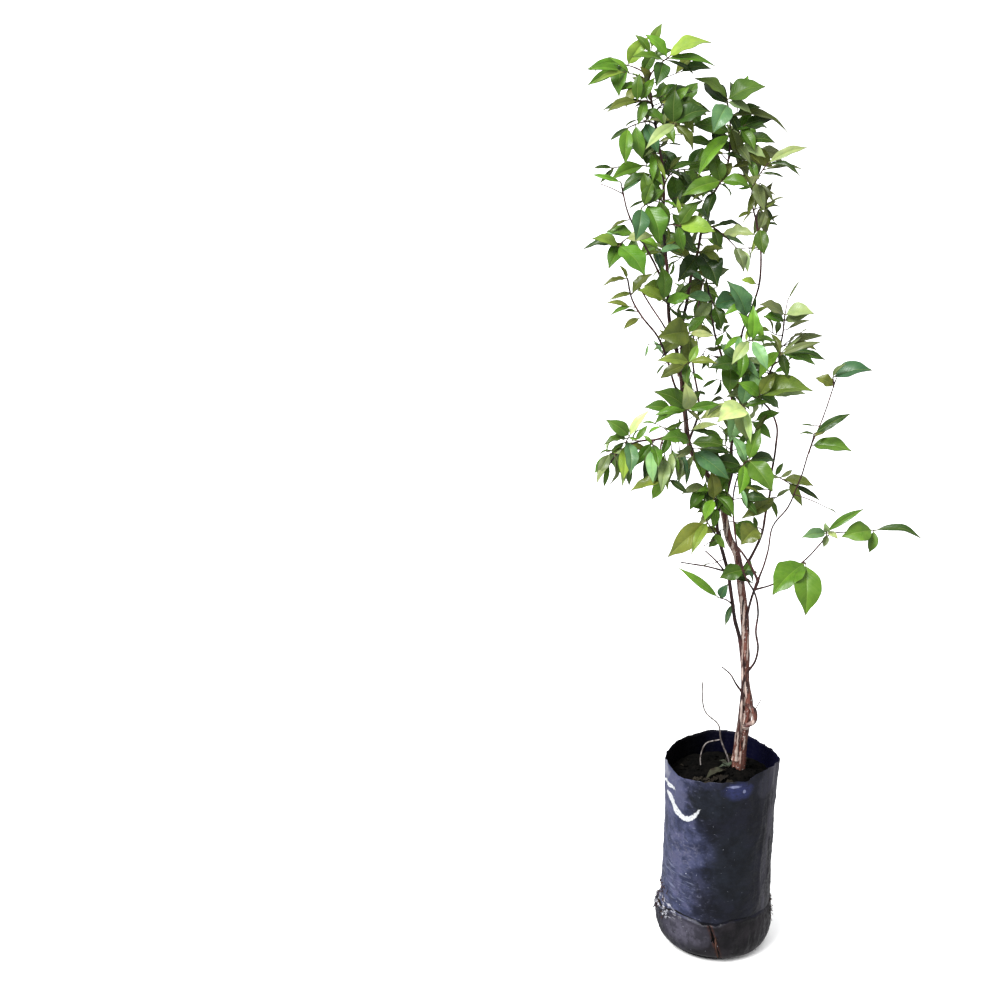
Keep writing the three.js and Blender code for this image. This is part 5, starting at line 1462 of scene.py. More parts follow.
# Wood.
def bark_relief(seed):
    """Bark relief for a tube: long ridges, and the thin plates that peel off a thick stem."""

    def relief(angles, distance, radius):
        spots = around(angles, radius * 0.5, distance / 16) + [seed * 7.3, 0, 0]
        ridges = layered_noise(spots, 3, seed)
        plates = smooth_step(0.1, 0.2, layered_noise(spots * [0.8, 0.8, 1.4], 2, seed + 40))
        thick = smooth_step(2.5, 5, radius)
        node = 0.1 * radius * hump(distance % 23, 11, 1.8) * (1 - thick)
        return ridges * radius * 0.07 + plates * 0.28 * thick + node

    return relief


def peeled_share(points):
    """How far each point of the wood's front shows pale wood under peeled bark."""
    found = np.zeros(len(points))
    for x, z, wide, high in peeled_spots:
        ragged = 0.35 * layered_noise(points * [0.35, 0.35, 0.12], 2, int(z))
        reach = ((points[:, 0] - x) / wide) ** 2 + ((points[:, 2] - z) / high) ** 2
        found = np.maximum(found, 1 - smooth_step(0.75, 1.05, reach + ragged))
    return found


def stem_mesh(name, points, order):
    """A stem as a closed tube, with a collar where it leaves the stem that it grows from."""
    radius = points[0][3]
    sides = THICK_STEM_SIDES if radius > THICK_STEM_RADIUS else THIN_STEM_SIDES
    step = STEM_STEP
    if name == "trunk":
        sides, step = TRUNK_SIDES, TRUNK_STEP
    route = smooth_route(points, step)
    route[:, 3] *= (0.78 + 0.22 * smooth_step(1.8, 3.4, route[:, 3])) * thinned_stems.get(name, 1)
    distance = distance_along(route)
    if name not in ("trunk", "mid_stem"):
        route[:, 3] *= 1 + 0.45 * np.exp(-distance / 5)
    wander = np.column_stack([distance / 22, np.full(len(route), order * 5.1), np.zeros(len(route))])
    for axis in range(3):
        sway = value_noise(wander, axis + 3) * 0.21 * min(radius, 3)
        route[:, axis] += sway * smooth_step(0, 12, distance)
    points, faces, girth = tube(route, sides, bark_relief(order))
    piece = Piece()
    piece.add(points, faces, girth=girth, peeled=peeled_share(points))
    return piece.mesh(name)


def join_solids(name, meshes):
    """One mesh of several closed ones, united."""
    objects = [bpy.data.objects.new(mesh.name, mesh) for mesh in meshes]
    others = bpy.data.collections.new(f"{name}_parts")
    bpy.context.scene.collection.objects.link(objects[0])
    for other in objects[1:]:
        others.objects.link(other)
    union = objects[0].modifiers.new("union", "BOOLEAN")
    union.operation = "UNION"
    union.operand_type = "COLLECTION"
    union.collection = others
    union.solver = "MANIFOLD"
    bpy.context.view_layer.update()
    seen = objects[0].evaluated_get(bpy.context.evaluated_depsgraph_get())
    whole = bpy.data.meshes.new_from_object(seen)
    whole.name = name
    for part in objects:
        bpy.data.objects.remove(part)
    bpy.data.collections.remove(others)
    return whole


def make_wood(bark):
    meshes = [stem_mesh(name, points, order) for order, (name, points) in enumerate(stems.items())]
    whole = join_solids("bare_wood", meshes)
    whole.materials.clear()
    whole.shade_smooth()
    place_piece("bare_wood", whole, [bark], "bark", "trunk_and_branches")


# The bag.
def turned_from_front(angle):
    """An angle round the bag, measured from the point that faces the observer, from -pi to pi."""
    front = -math.pi / 2 + turn
    return (angle - front + math.pi) % (2 * math.pi) - math.pi


def angle_of(facing):
    """The angle round the bag of a place that is measured from the point that faces the observer."""
    return facing - math.pi / 2 + turn


def wall_noise_spots(across, shift, up):
    """Where noise is read for a pattern on the film, with a shift that tells the patterns apart."""
    return np.column_stack([across, np.full(len(across), float(shift)), up])


def dent(angle, z):
    """The soft dents of the film at a height, as a change of radius, as in the frame."""
    high = (z / BAG_HEIGHT) ** 3
    rim = np.cos(3 * angle + 0.6) * 0.6 + np.cos(5 * angle + 2.1) * 0.4
    wall = np.cos(2 * angle + z * 0.02) + 0.5 * np.cos(4 * angle + 1.3 - z * 0.03)
    lift = np.minimum(z / 40, 1)
    return rim * RIM_DENT * high + wall * WALL_DENT * lift


def line_height(line, angle):
    """The height of a line round the bag at each angle."""
    places, heights = np.array(line, float).T
    return np.interp(turned_from_front(angle), places, heights)


def crease_height(angle):
    """The height of the fold that crosses the bag above its bottom band."""
    facing = turned_from_front(angle)
    wobble = value_noise(wall_noise_spots(facing * 6, 0, facing * 0 + 4), 9)
    return line_height(fold_line, angle) + 0.8 * wobble


def slit_distance(angle, z):
    """How far, in millimetres round the bag, a spot lies from the tear at the front of the band."""
    lean = -0.22 + (BAND_HEIGHT - z) * 0.0051
    return (turned_from_front(angle) - lean) * HALF_BAG


def film_relief(angle, z):
    """The film's relief over the packed soil, as a change of radius."""
    facing = turned_from_front(angle)
    spots = around(angle, HALF_BAG, z)
    fold = crease_height(angle)

    lumps = layered_noise(spots / LUMP_SIZE, 3, 21) * 0.6
    facets = (0.4 - np.abs(layered_noise(spots / FACET_SIZE, 2, 31))) * 0.8
    relief = (lumps + facets) * LUMP_DEPTH * (1 - smooth_step(SOIL_TOP - 12, SOIL_TOP + 6, z))

    pleats = noise_ridges(wall_noise_spots(facing * 3.6, 0, z / 130), 41, 2.2)
    relief += (pleats - 0.4) * PLEAT_DEPTH * smooth_step(140, 228, z)

    uprights = noise_ridges(wall_noise_spots(facing * 9, 5, z / 60), 43, 2.4)
    right = smooth_step(0.5, 0.8, facing) * (1 - smooth_step(1.9, 2.4, facing))
    relief += (uprights - 0.35) * UPRIGHT_DEPTH * right * smooth_step(60, 90, z)

    wrinkles = noise_ridges(wall_noise_spots(facing * 3.2, 2, z / 3.0 + facing * 1.5), 51, 2)
    low_left = hump(z, 82, 24) * (0.3 + 0.7 * smooth_step(0.3, -0.4, facing))
    relief += wrinkles**2 * WRINKLE_DEPTH * low_left

    crackle = noise_ridges(spots / CRACKLE_SIZE, 53, 2.6)
    relief += crackle**2 * CRACKLE_DEPTH * smooth_step(10, 40, z)

    relief -= CREASE_DEPTH * hump(z, fold, 1.4)
    relief += FOLD_LIP * hump(z, fold - 3.0, 2.0)

    bulge = BAND_SPREAD * np.cos(2 * (facing - math.pi / 2)) + LEFT_BULGE * hump(facing, -1.5, 0.5)
    relief += bulge * hump(z, 36, 20)
    gathers = layered_noise(wall_noise_spots(facing * 13, 0, z / 18), 3, 61)
    relief += gathers * GATHER_DEPTH * hump(z, 30, 20)

    in_band = (1 - smooth_step(fold - 3, fold + 1, z)) * smooth_step(3, 10, z)
    relief -= TEAR_DEPTH * hump(slit_distance(angle, z), 0, 1.2) * in_band
    return relief * smooth_step(0, 12, z)


def bag_rings(profile, inward):
    """Rings of corners up a profile of [radius, height], moved in by a distance."""
    angles = ring_angles(BAG_SIDES)
    nick = NICK_DEPTH * layered_noise(wall_noise_spots(angles * 9, 0, angles * 0), 2, 71)
    rim_rise = line_height(rim_line, angles) - BAG_HEIGHT + nick
    front = hump(turned_from_front(angles), -0.35, 0.9)
    rings = []
    for radius, z in profile:
        heights = np.full(BAG_SIDES, z)
        wall_share = min(z / 8, 1)
        size = radius - inward * wall_share
        size = size + (dent(angles, heights) + film_relief(angles, heights)) * smooth_step(20, 46, radius)
        above_soil = max((z - SOIL_TOP) / (BAG_HEIGHT - SOIL_TOP), 0)
        curl = FRONT_LIFT * front * smooth_step(36, 56, radius) * (1 - smooth_step(10, 26, z))
        rise = rim_rise * above_soil + inward * (1 - wall_share) + curl
        rings.append(around(angles, size, heights + rise))
    return rings


def fine_profile(step):
    """The bag's profile as a smooth curve of [radius, height]."""
    points = [[0, 0, 0, 0], [FLAT_BOTTOM_RADIUS - 14, 0, 0, 0], *[[r, 0, z, 0] for r, z in bag_profile]]
    curve = smooth_route(points, step)[:, [0, 2]]
    curve[:, 1] = np.maximum(curve[:, 1], 0)
    return curve[1:]


def highlight_distance(arc, z):
    """How far each spot of the film lies outside the painted highlight, in millimetres. It is negative
    inside.
    """
    best = np.full(len(arc), 99.0)
    for line in (highlight_hook, highlight_streak):
        for a, b, _, wide in smooth_route([[a, b, 0, wide] for a, b, wide in line], 1.0):
            best = np.minimum(best, np.hypot(arc - a, z - b) - wide)
    return best


def make_bag(film):
    outer = bag_rings(fine_profile(BAG_STEP), 0)
    edge = bag_rings([[HALF_BAG + 0.2, BAG_HEIGHT]], FILM_THICKNESS / 2)
    edge[0][:, 2] += FILM_THICKNESS / 3
    inner = bag_rings(fine_profile(INSIDE_STEP), FILM_THICKNESS)[::-1]
    rings = [*outer, *edge, *inner]
    corners = np.vstack([*rings, [[0, 0, 0], [0, 0, FILM_THICKNESS]]])
    angles = np.arctan2(corners[:, 1], corners[:, 0])
    facing = turned_from_front(angles)
    arc, z = facing * HALF_BAG, corners[:, 2]
    piece = Piece()
    piece.add(
        corners,
        closed_stack(len(rings), BAG_SIDES),
        film_place=np.column_stack([np.sin(facing), arc, z]),
        film_scuff=highlight_distance(arc, z),
        film_inside=np.arange(len(corners)) >= len(outer) * BAG_SIDES,
        film_band=crease_height(angles) - z,
        film_slit=np.abs(slit_distance(angles, z)),
    )
    piece.place("film_bag", [film], "bag_film", "grow_bag", crease_angle=ROUGH_CREASE_ANGLE)


wall_profile = fine_profile(4)


def film_surface(angle, z):
    """The film's radius at an angle and a height on its wall."""
    angles, heights = np.array([angle]), np.array([z])
    radii, levels = wall_profile.T
    return np.interp(z, levels, radii) + (dent(angles, heights) + film_relief(angles, heights))[0]


def make_torn_film(film):
    """Scraps of film torn loose along the band's top edge. Each curls away from the wall below its root."""
    draw = seeded_draw(SCRAP_SEED)
    piece = Piece()
    for order in range(SCRAP_COUNT):
        facing = draw(-1, -2) if order % 3 else draw(1.15, 1.75)
        angle = angle_of(facing)
        z = line_height(fold_line, np.array([angle]))[0] + draw(-3.5, 6.5)
        wide, drop, curl = draw(0.03, 0.09), draw(4, 10), draw(1.2, 3.6)
        points = []
        for offset, n, m in itertools.product((-0.15, 0.15), range(SCRAP_ROWS), range(SCRAP_COLUMNS)):
            share = n / (SCRAP_ROWS - 1)
            turned = angle + (m / (SCRAP_COLUMNS - 1) - 0.5) * wide * (1 - 0.6 * share)
            ragged = 0.4 * value_noise([[order * 3.1 + m, n * 0.9, 0.5]], 17)[0]
            height = z - drop * share + ragged * 2 * share
            reach = film_surface(turned, height) - 0.3 + curl * share**1.5 + offset + ragged * share
            points.append(around(turned, reach, height))
        points = np.array(points)
        whole = np.ones(len(points))
        piece.add(
            points,
            sheet_faces(SCRAP_ROWS, SCRAP_COLUMNS),
            film_place=np.column_stack([whole * math.sin(facing), whole * facing * HALF_BAG, points[:, 2]]),
            film_scuff=whole * SCRAP_FAR_OFF,
            film_inside=whole * 0,
            film_band=whole * SCRAP_BELOW_FOLD,
            film_slit=whole * SCRAP_FAR_OFF,
        )
    piece.place("torn_film", [film], "bag_film")


# The soil, and what lies on it.
def on_soil(x, y, above=0):
    """A spot over the soil's top, which is heaped up round the trunk."""
    heap = HEAP_HEIGHT * np.exp(-((x - HEAP_X) ** 2 + (y - HEAP_Y) ** 2) / HEAP_WIDTH**2)
    return np.stack(np.broadcast_arrays(x, y, SOIL_TOP + heap + above), axis=-1)


def make_soil(soil):
    angles = ring_angles(SOIL_SIDES)
    rings = []
    for radius, z in fine_profile(SOIL_SIDE_STEP):
        if z < SOIL_TOP - 6 and radius > 30:
            z = max(z, SOIL_BASE)
            rings.append(around(angles, radius - 2.4 + np.minimum(dent(angles, z), 0), z))
    top_radius = HALF_BAG - 1.3 + dent(angles, SOIL_TOP)
    for n in range(SOIL_ROWS):
        share = 1 - n / SOIL_ROWS
        spots = around(angles, top_radius * share, 0)
        lumps = 2.0 * layered_noise(spots / 15, 3, 81)
        clods = 0.9 * np.clip(layered_noise(spots / 4.2, 3, 91), -0.2, 1)
        above = lumps + clods - 0.8 - 1.2 * smooth_step(0.9, 1, share)
        rings.append(on_soil(spots[:, 0], spots[:, 1], above))
    corners = np.vstack([*rings, [[0, 0, SOIL_BASE]], on_soil(0, 0)[None]])
    piece = Piece()
    piece.add(corners, closed_stack(len(rings), SOIL_SIDES))
    piece.place("potting_soil", [soil], "soil", "soil", crease_angle=SOIL_CREASE_ANGLE)


def lump(centre, size, seed, sides=9, rows=6):
    """A rough crumb: a ball whose radius varies."""
    tilts = math.pi * np.arange(rows - 1, 0, -1) / rows
    rings = [around(ring_angles(sides), math.sin(tilt), math.cos(tilt)) for tilt in tilts]
    points = np.vstack([*rings, [[0, 0, -1], [0, 0, 1]]])
    rough = 1 + 0.35 * layered_noise(points * 1.4 + seed, 2, 5)
    return centre + points * rough[:, None] * size, closed_stack(rows - 1, sides)


def soil_spot(draw, reach=0.9):
    """A random spot on the soil's top."""
    angle = draw(0, 2 * math.pi)
    radius = math.sqrt(draw()) * (HALF_BAG - 4) * reach
    return on_soil(math.cos(angle) * radius, math.sin(angle) * radius)


def make_crumbs(soil):
    draw = seeded_draw(CRUMB_SEED)
    piece = Piece()
    for order in range(CRUMB_COUNT):
        spot = soil_spot(draw)
        size = 0.7 + 2.1 * draw() ** 2.2
        stretch = np.array([draw(1, 1.4), 1, 0.75])
        piece.add(*lump(spot + [0, 0, size * 0.35 - 0.4], size * stretch, order * 3.7))
    piece.place("soil_crumbs", [soil], "soil", crease_angle=ROUGH_CREASE_ANGLE)


def lying_pose(base, along, length, half):
    """The pose of a leaf that lies face up along a direction."""
    along = unit(np.array(along))
    side = unit(np.cross(along, [0, 0, 1]))
    face = np.cross(side, along)
    return {"base": base, "along": along, "face": face, "side": side, "length": length, "half": half}


def make_litter(dead):
    """Bits of dead leaf on the soil, the sprouts beside the trunk, and the one whole fallen leaf."""
    draw = seeded_draw(LITTER_SEED)
    piece = Piece()
    for order in range(LITTER_COUNT):
        base = soil_spot(draw, 0.82) + [0, 0, draw(1.2, 2.2)]
        if order % 3:
            base = on_soil(draw(-36, 10), draw(-24, -4), draw(1, 3))
        spin, tilt = draw(0, 2 * math.pi), draw(-0.35, 0.35)
        length = draw(5, 14)
        along = [math.cos(spin), math.sin(spin), math.sin(tilt) * 0.4]
        pose = lying_pose(base, along, length, length * draw(0.16, 0.32))
        habit = leaf_habit(draw, "O", length)
        habit["colour"] = np.array(LITTER_COLOUR) * (0.25 + draw() ** 2)
        habit["wave"] = 0.3
        add_leaf(piece, pose, habit, base[None])
    for heading, steep, length in sprouts:
        heading = math.radians(heading)
        base = on_soil(SPROUT_X, SPROUT_Y, 0.4)
        along = [math.cos(heading), math.sin(heading), steep]
        habit = leaf_habit(draw, "O", length)
        habit["colour"] = SPROUT_COLOUR
        add_leaf(piece, lying_pose(base, along, length, length * 0.24), habit, base[None])
    piece.place("leaf_litter", [dead], "dead_leaf")

    whole = Piece()
    x, y, length = fallen_leaf["x"], fallen_leaf["y"], fallen_leaf["length"]
    heading = math.radians(fallen_leaf["heading"])
    base = on_soil(x, y, 1.6)
    tip = on_soil(x + length * math.cos(heading), y + length * math.sin(heading), 1.6)
    habit = leaf_habit(draw, "O", length)
    habit["colour"] = FALLEN_COLOUR
    pose = lying_pose(base, tip - base, length, length * LEAF_BREADTH * 0.5)
    add_leaf(whole, pose, habit, base[None])
    whole.place("fallen_leaf_fine", [dead], "dead_leaf", "fallen_leaf")


def make_thin_parts(dry, root):
    """The dry stalk, the root that has come out through the tear, and the rootlets round the band."""
    stalk = Piece()
    for order, points in enumerate((dry_stalk, dry_stalk_arc)):
        stalk.add_tube(smooth_route(points, STALK_STEP), STALK_SIDES, bark_relief(60 + order))
    stalk.place("dry_stalk_fine", [dry], "dry_twig", "dry_stalk")

    main_root = Piece()
    main_root.add_tube(smooth_route(escaped_root, FINE_STEP), ROOT_SIDES, bark_relief(70))
    main_root.place("escaped_root_fine", [root], "root", "escaped_root")

    draw = seeded_draw(ROOTLET_SEED)
    fringe = Piece()
    for order in range(ROOTLET_COUNT):
        left = order % 3 != 2
        angle = angle_of(draw(-1.15, -2) if left else draw(1.2, 1.8))
        z = draw(38, 78) if left else draw(34, 64)
        route = []
        for step in range(6):
            reach = film_surface(angle, z) + min(step * 0.9, 2.6) * draw() - 0.3
            route.append([*around(angle, reach, z), 0.5 - 0.06 * step])
            angle += draw(-0.035, 0.035)
            z += draw(1.2, -2.2)
        fringe.add_tube(smooth_route(route, FINE_STEP), ROOTLET_SIDES)
    fringe.place("rootlet_fringe", [root], "root")


# Finishes.
class Finish:
    """A material on the Principled shader, with short calls for the nodes that pattern it."""

    def __init__(self, name, roughness, specular=0.5):
        self.material = bpy.data.materials.new(name)
        self.material.use_nodes = True
        self.tree = self.material.node_tree
        self.shader = self.tree.nodes["Principled BSDF"]
        self.set("Roughness", roughness)
        self.set("Specular IOR Level", specular)

    def put(self, socket, value):
        """Links a node's output to a socket, or sets the socket's own number, vector or colour."""
        if isinstance(value, bpy.types.NodeSocket):
            self.tree.links.new(value, socket)
        elif socket.type == "RGBA":
            socket.default_value = (*value, 1)
        else:
            socket.default_value = value

    def set(self, name, value):
        self.put(self.shader.inputs[name], value)

    def node(self, kind, inputs):
        """A new node of a kind, with its inputs given by name or number."""
        node = self.tree.nodes.new(f"ShaderNode{kind}")
        for key, value in inputs.items():
            self.put(node.inputs[key], value)
        return node

    def place(self, stretch=(1, 1, 1)):
        """The spot on the object, stretched by a scale."""
        spot = self.node("TexCoord", {}).outputs["Object"]
        return self.node("Mapping", {"Vector": spot, "Scale": stretch}).outputs["Vector"]

    def value(self, name, output="Fac"):
        """A value kept at the piece's points."""
        node = self.node("Attribute", {})
        node.attribute_name = name
        return node.outputs[output]

    def split(self, vector):
        return self.node("SeparateXYZ", {0: vector}).outputs

    def math(self, operation, a, b=0.0):
        node = self.node("Math", {0: a, 1: b})
        node.operation = operation
        return node.outputs[0]

    def times(self, a, b):
        return self.math("MULTIPLY", a, b)

    def plus(self, a, b):
        return self.math("ADD", a, b)

    def minus(self, a, b):
        return self.math("SUBTRACT", a, b)

    def larger(self, a, b):
        return self.math("MAXIMUM", a, b)

    def range(self, value, low, high, to_low=0.0, to_high=1.0):
        """A value eased from one range to another."""
        limits = {"From Min": low, "From Max": high, "To Min": to_low, "To Max": to_high}
        node = self.node("MapRange", {"Value": value, **limits})
        node.interpolation_type = "SMOOTHSTEP"
        return node.outputs[0]

    def noise(self, scale, detail=3.0, rough=0.55, stretch=(1, 1, 1)):
        pattern = {"Vector": self.place(stretch), "Scale": scale, "Detail": detail, "Roughness": rough}
        return self.node("TexNoise", pattern).outputs["Fac"]

    def mix(self, share, a, b, blend="MIX"):
        node = self.node("Mix", {0: share, 6: a, 7: b})
        node.data_type = "RGBA"
        node.blend_type = blend
        return node.outputs[2]

    def lay(self, colour, share, strength, tint):
        """A tint laid over a colour where a share is high, at a strength."""
        return self.mix(self.times(share, strength), colour, tint)

    def bump(self, height, distance, strength=1.0):
        relief = {"Height": height, "Distance": distance * METRES, "Strength": strength}
        self.set("Normal", self.node("Bump", relief).outputs[0])


def film_finish():
    """Black film, painted lighter, blue and purple on the left where the light falls, with its earthy band,
    its marks, and painted sheen and highlights.
    """
    film = Finish("bag_film", 0.4, 0.3)
    tint = film_tints
    across, arc, height = film.split(film.value("film_place", "Vector"))
    broad = film.noise(20, 4, stretch=(1, 1, 0.7))
    blotches = film.noise(60, 5, 0.65)
    fine = film.noise(210, 4, 0.65, (1, 1, 1.6))

    def patch(name):
        """1 in the middle of a soft oval on the film, 0 outside."""
        middle_arc, middle_height, wide, high, ragged = film_patches[name]
        sideways = film.math("DIVIDE", film.minus(arc, middle_arc), wide)
        upward = film.math("DIVIDE", film.minus(height, middle_height), high)
        far = film.plus(film.math("POWER", sideways, 2.0), film.math("POWER", upward, 2.0))
        far = film.plus(far, film.times(film.minus(blotches, 0.5), ragged * 4))
        return film.range(far, 1.1, 0.25)

    # Painted light: the film is lighter and bluer toward the left, where the light falls.
    lit_left = film.range(film.plus(across, film.range(broad, 0.3, 0.7, 0.24, -0.24)), -0.1, -0.95)
    colour = film.mix(lit_left, tint["black"], tint["lit_left"])
    # Purple blotches of the film's own tone, laid on the left only as part of the painted light there.
    purple = film.times(film.range(blotches, 0.48, 0.66), film.range(across, -0.25, -0.8))
    colour = film.lay(colour, purple, 0.7, tint["purple"])
    flecks = film.times(film.range(fine, 0.56, 0.70), film.range(across, 0.1, -0.6, 0.1, 1.0))
    colour = film.lay(colour, flecks, 0.5, tint["flecks"])
    colour = film.lay(colour, film.larger(patch("dark_high"), patch("dark_middle")), 0.85, tint["dark"])
    mottled = film.mix(film.range(blotches, 0.36, 0.62), tint["mottle_low"], tint["mottle_high"])
    colour = film.mix(1.0, colour, mottled, "MULTIPLY")

    # Painted sheen: grey streaks toward the right edge, where the film turns away.
    edge = film.times(film.range(arc, 40, 66), film.range(arc, 122, 90))
    folds = film.noise(90, 3, stretch=(1, 1, 0.2))
    edge_sheen = film.mix(film.range(folds, 0.36, 0.66), tint["edge_sheen_low"], tint["edge_sheen_high"])
    colour = film.lay(colour, edge, 0.85, edge_sheen)
    shine = film.times(patch("shine"), film.range(fine, 0.3, 0.6, 0.45, 0.85))
    colour = film.mix(shine, colour, tint["shine"])
    colour = film.lay(colour, film.larger(patch("glint_spot"), patch("glint_line")), 0.7, tint["glint"])
    # Painted sheen, lavender, on the upper left and on a facet of the film beside it.
    colour = film.lay(colour, film.larger(patch("left_sheen"), patch("fold_sheen")), 0.55, tint["sheen"])
    colour = film.lay(colour, patch("lit_fold"), 0.6, tint["lit_fold"])
    # Painted highlight at the rim's upper left corner.
    colour = film.lay(colour, patch("corner_highlight"), 0.7, tint["corner_highlight"])
    rubbed = film.times(patch("rubbed"), film.range(fine, 0.45, 0.65))
    colour = film.lay(colour, rubbed, 0.6, tint["rubbed"])
    # Painted highlights: pale horizontal lines on the crests of the wrinkles low on the left.
    wrinkle_lines = film.noise(130, 4, 0.6, (0.35, 0.35, 3.6))
    wrinkle_highlight = film.times(patch("wrinkle_highlight"), film.range(wrinkle_lines, 0.54, 0.66))
    colour = film.lay(colour, wrinkle_highlight, 0.75, tint["wrinkle_highlight"])

    band_fall = film.value("film_band")
    earth = film.mix(film.range(blotches, 0.35, 0.68), tint["earth_low"], tint["earth_high"])
    colour = film.lay(colour, film.range(band_fall, -1.5, 4.0), 0.85, earth)
    # Painted sheen where the band catches the light at its lower left.
    band_sheen = film.times(patch("band_sheen"), film.range(blotches, 0.42, 0.62, 0.3, 1.0))
    colour = film.lay(colour, band_sheen, 0.7, tint["band_sheen"])
    # Painted shade: a dark line in the crease of the fold.
    fold_shade = film.range(film.math("ABSOLUTE", band_fall), 1.8, 0.3)
    colour = film.lay(colour, fold_shade, 0.7, tint["fold_line"])
    # Painted highlights: near-white on the ridges of the wrinkles by the fold at the left.
    ridges = film.noise(190, 3, 0.6, (0.7, 0.7, 2.4))
    crease_highlight = film.times(patch("crease_highlight"), film.range(ridges, 0.5, 0.6))
    colour = film.lay(colour, crease_highlight, 0.85, tint["crease_highlight"])
    torn = film.value("film_slit")
    under_fold = film.range(band_fall, -0.5, 1.5)
    stain = film.times(film.range(torn, 5.0, 1.5), film.range(fine, 0.4, 0.6, 0.2, 0.9))
    colour = film.lay(colour, stain, under_fold, tint["stain"])
    colour = film.lay(colour, film.range(torn, 1.4, 0.7), under_fold, tint["gap"])

    specks = film.times(film.range(film.noise(330, 2), 0.735, 0.76), film.range(across, 0.5, -0.2, 0.1, 1.0))
    colour = film.mix(specks, colour, tint["specks"])
    # Painted highlight: a near-white hook and streak where a curved fold of the film would catch the light,
    # broken up in places.
    ragged_edge = film.times(film.minus(film.noise(300, 4), 0.5), 4.5)
    hook_highlight = film.range(film.plus(film.value("film_scuff"), ragged_edge), 0.5, -0.5)
    highlight_gaps = film.times(film.range(film.noise(520, 3), 0.60, 0.66), 0.8)
    colour = film.lay(colour, hook_highlight, film.minus(1.0, highlight_gaps), tint["hook_highlight"])
    # The inside of the bag: painted shade, darker than the outside, near black on the left, with painted
    # light in blue on the right.
    inside_shading = film.mix(film.range(across, -0.5, 0.5), tint["inside_shaded"], tint["inside_lit"])
    colour = film.mix(film.value("film_inside"), colour, inside_shading)
    film.set("Base Color", colour)
    film.set("Roughness", film.range(fine, 0.3, 0.7, 0.26, 0.52))
    film.bump(film.noise(110, 6, 0.65, (1, 1, 2.6)), 0.9, 0.7)
    return film.material


def soil_finish():
    soil = Finish("potting_soil", 0.95, 0.08)
    grain = soil.noise(160, 5, 0.7)
    grit = soil.noise(700, 3)
    colour = soil.mix(soil.range(grain, 0.35, 0.7), *SOIL_COLOURS)
    soil.set("Base Color", soil.mix(soil.range(grit, 0.66, 0.76, 0.0, 0.2), colour, GRIT_COLOUR))
    soil.bump(soil.plus(grain, grit), 0.8, 0.8)
    return soil.material


def bark_finish():
    """Dark young bark on thin wood, and streaked old bark that peels to a pale layer on thick wood."""
    bark = Finish("bark", 0.5, 0.5)
    tint = bark_tints
    peeled = bark.value("peeled")
    streaks = bark.noise(330, 4, 0.6, (1, 1, 0.16))
    fine = bark.noise(1400, 3, stretch=(1, 1, 0.25))
    broad = bark.noise(60, 3, stretch=(1, 1, 0.4))
    young = bark.mix(bark.range(streaks, 0.35, 0.7), tint["young_dark"], tint["young_light"])
    young = bark.mix(bark.range(broad, 0.45, 0.65, 0.0, 0.8), young, tint["young_red"])
    old = bark.mix(bark.range(streaks, 0.38, 0.6), tint["old_dark"], tint["old_light"])
    old = bark.mix(bark.range(broad, 0.45, 0.7, 0.0, 0.5), old, tint["old_pale"])

    turned = bark.split(bark.node("NewGeometry", {}).outputs["Normal"])[0]
    # Pale peel is the bark's own; laying more of it on the left side, where the light falls, is painted
    # light.
    paler_on_lit_side = bark.range(turned, 0.35, -0.8, -0.11, 0.08)
    less_at_foot = bark.range(bark.split(bark.place())[2], 0.275, 0.25, 0.0, -0.07)
    flakes = bark.plus(bark.noise(230, 4, 0.65, (1, 1, 0.2)), bark.plus(paler_on_lit_side, less_at_foot))
    old = bark.lay(old, bark.larger(bark.range(flakes, 0.54, 0.60), peeled), 0.92, tint["peeled"])
    glints = bark.noise(480, 3, 0.6, (1, 1, 0.6))
    old = bark.mix(bark.range(glints, 0.62, 0.67, 0.0, 0.8), old, tint["glints"])

    thick = bark.range(bark.value("girth"), 2.0, 4.0)
    colour = bark.mix(bark.larger(thick, peeled), young, old)
    bark.set("Base Color", bark.mix(bark.range(fine, 0.58, 0.75, 0.0, 0.3), colour, tint["fibres"]))
    bark.bump(bark.plus(streaks, bark.times(fine, 0.4)), 0.5, 0.8)
    return bark.material


def leaf_pattern(name, roughness, specular):
    """The finish of a blade with its own green, its place along and across it, and its mottling."""
    leaf = Finish(name, roughness, specular)
    places = leaf.split(leaf.value("leaf_place", "Vector"))
    return leaf, leaf.value("leaf_colour", "Color"), places, leaf.noise(150, 4)


def leaf_veins(leaf, along, out):
    """1 on the side veins, which run out and forward from the midrib."""
    rows = leaf.minus(leaf.times(along, 11.0), leaf.times(out, 2.6))
    rows = leaf.math("FRACT", leaf.plus(rows, leaf.value("leaf_seed")))
    vein = leaf.range(leaf.math("ABSOLUTE", leaf.minus(rows, 0.5)), 0.12, 0.03)
    return leaf.times(vein, leaf.range(out, 0.96, 0.7))


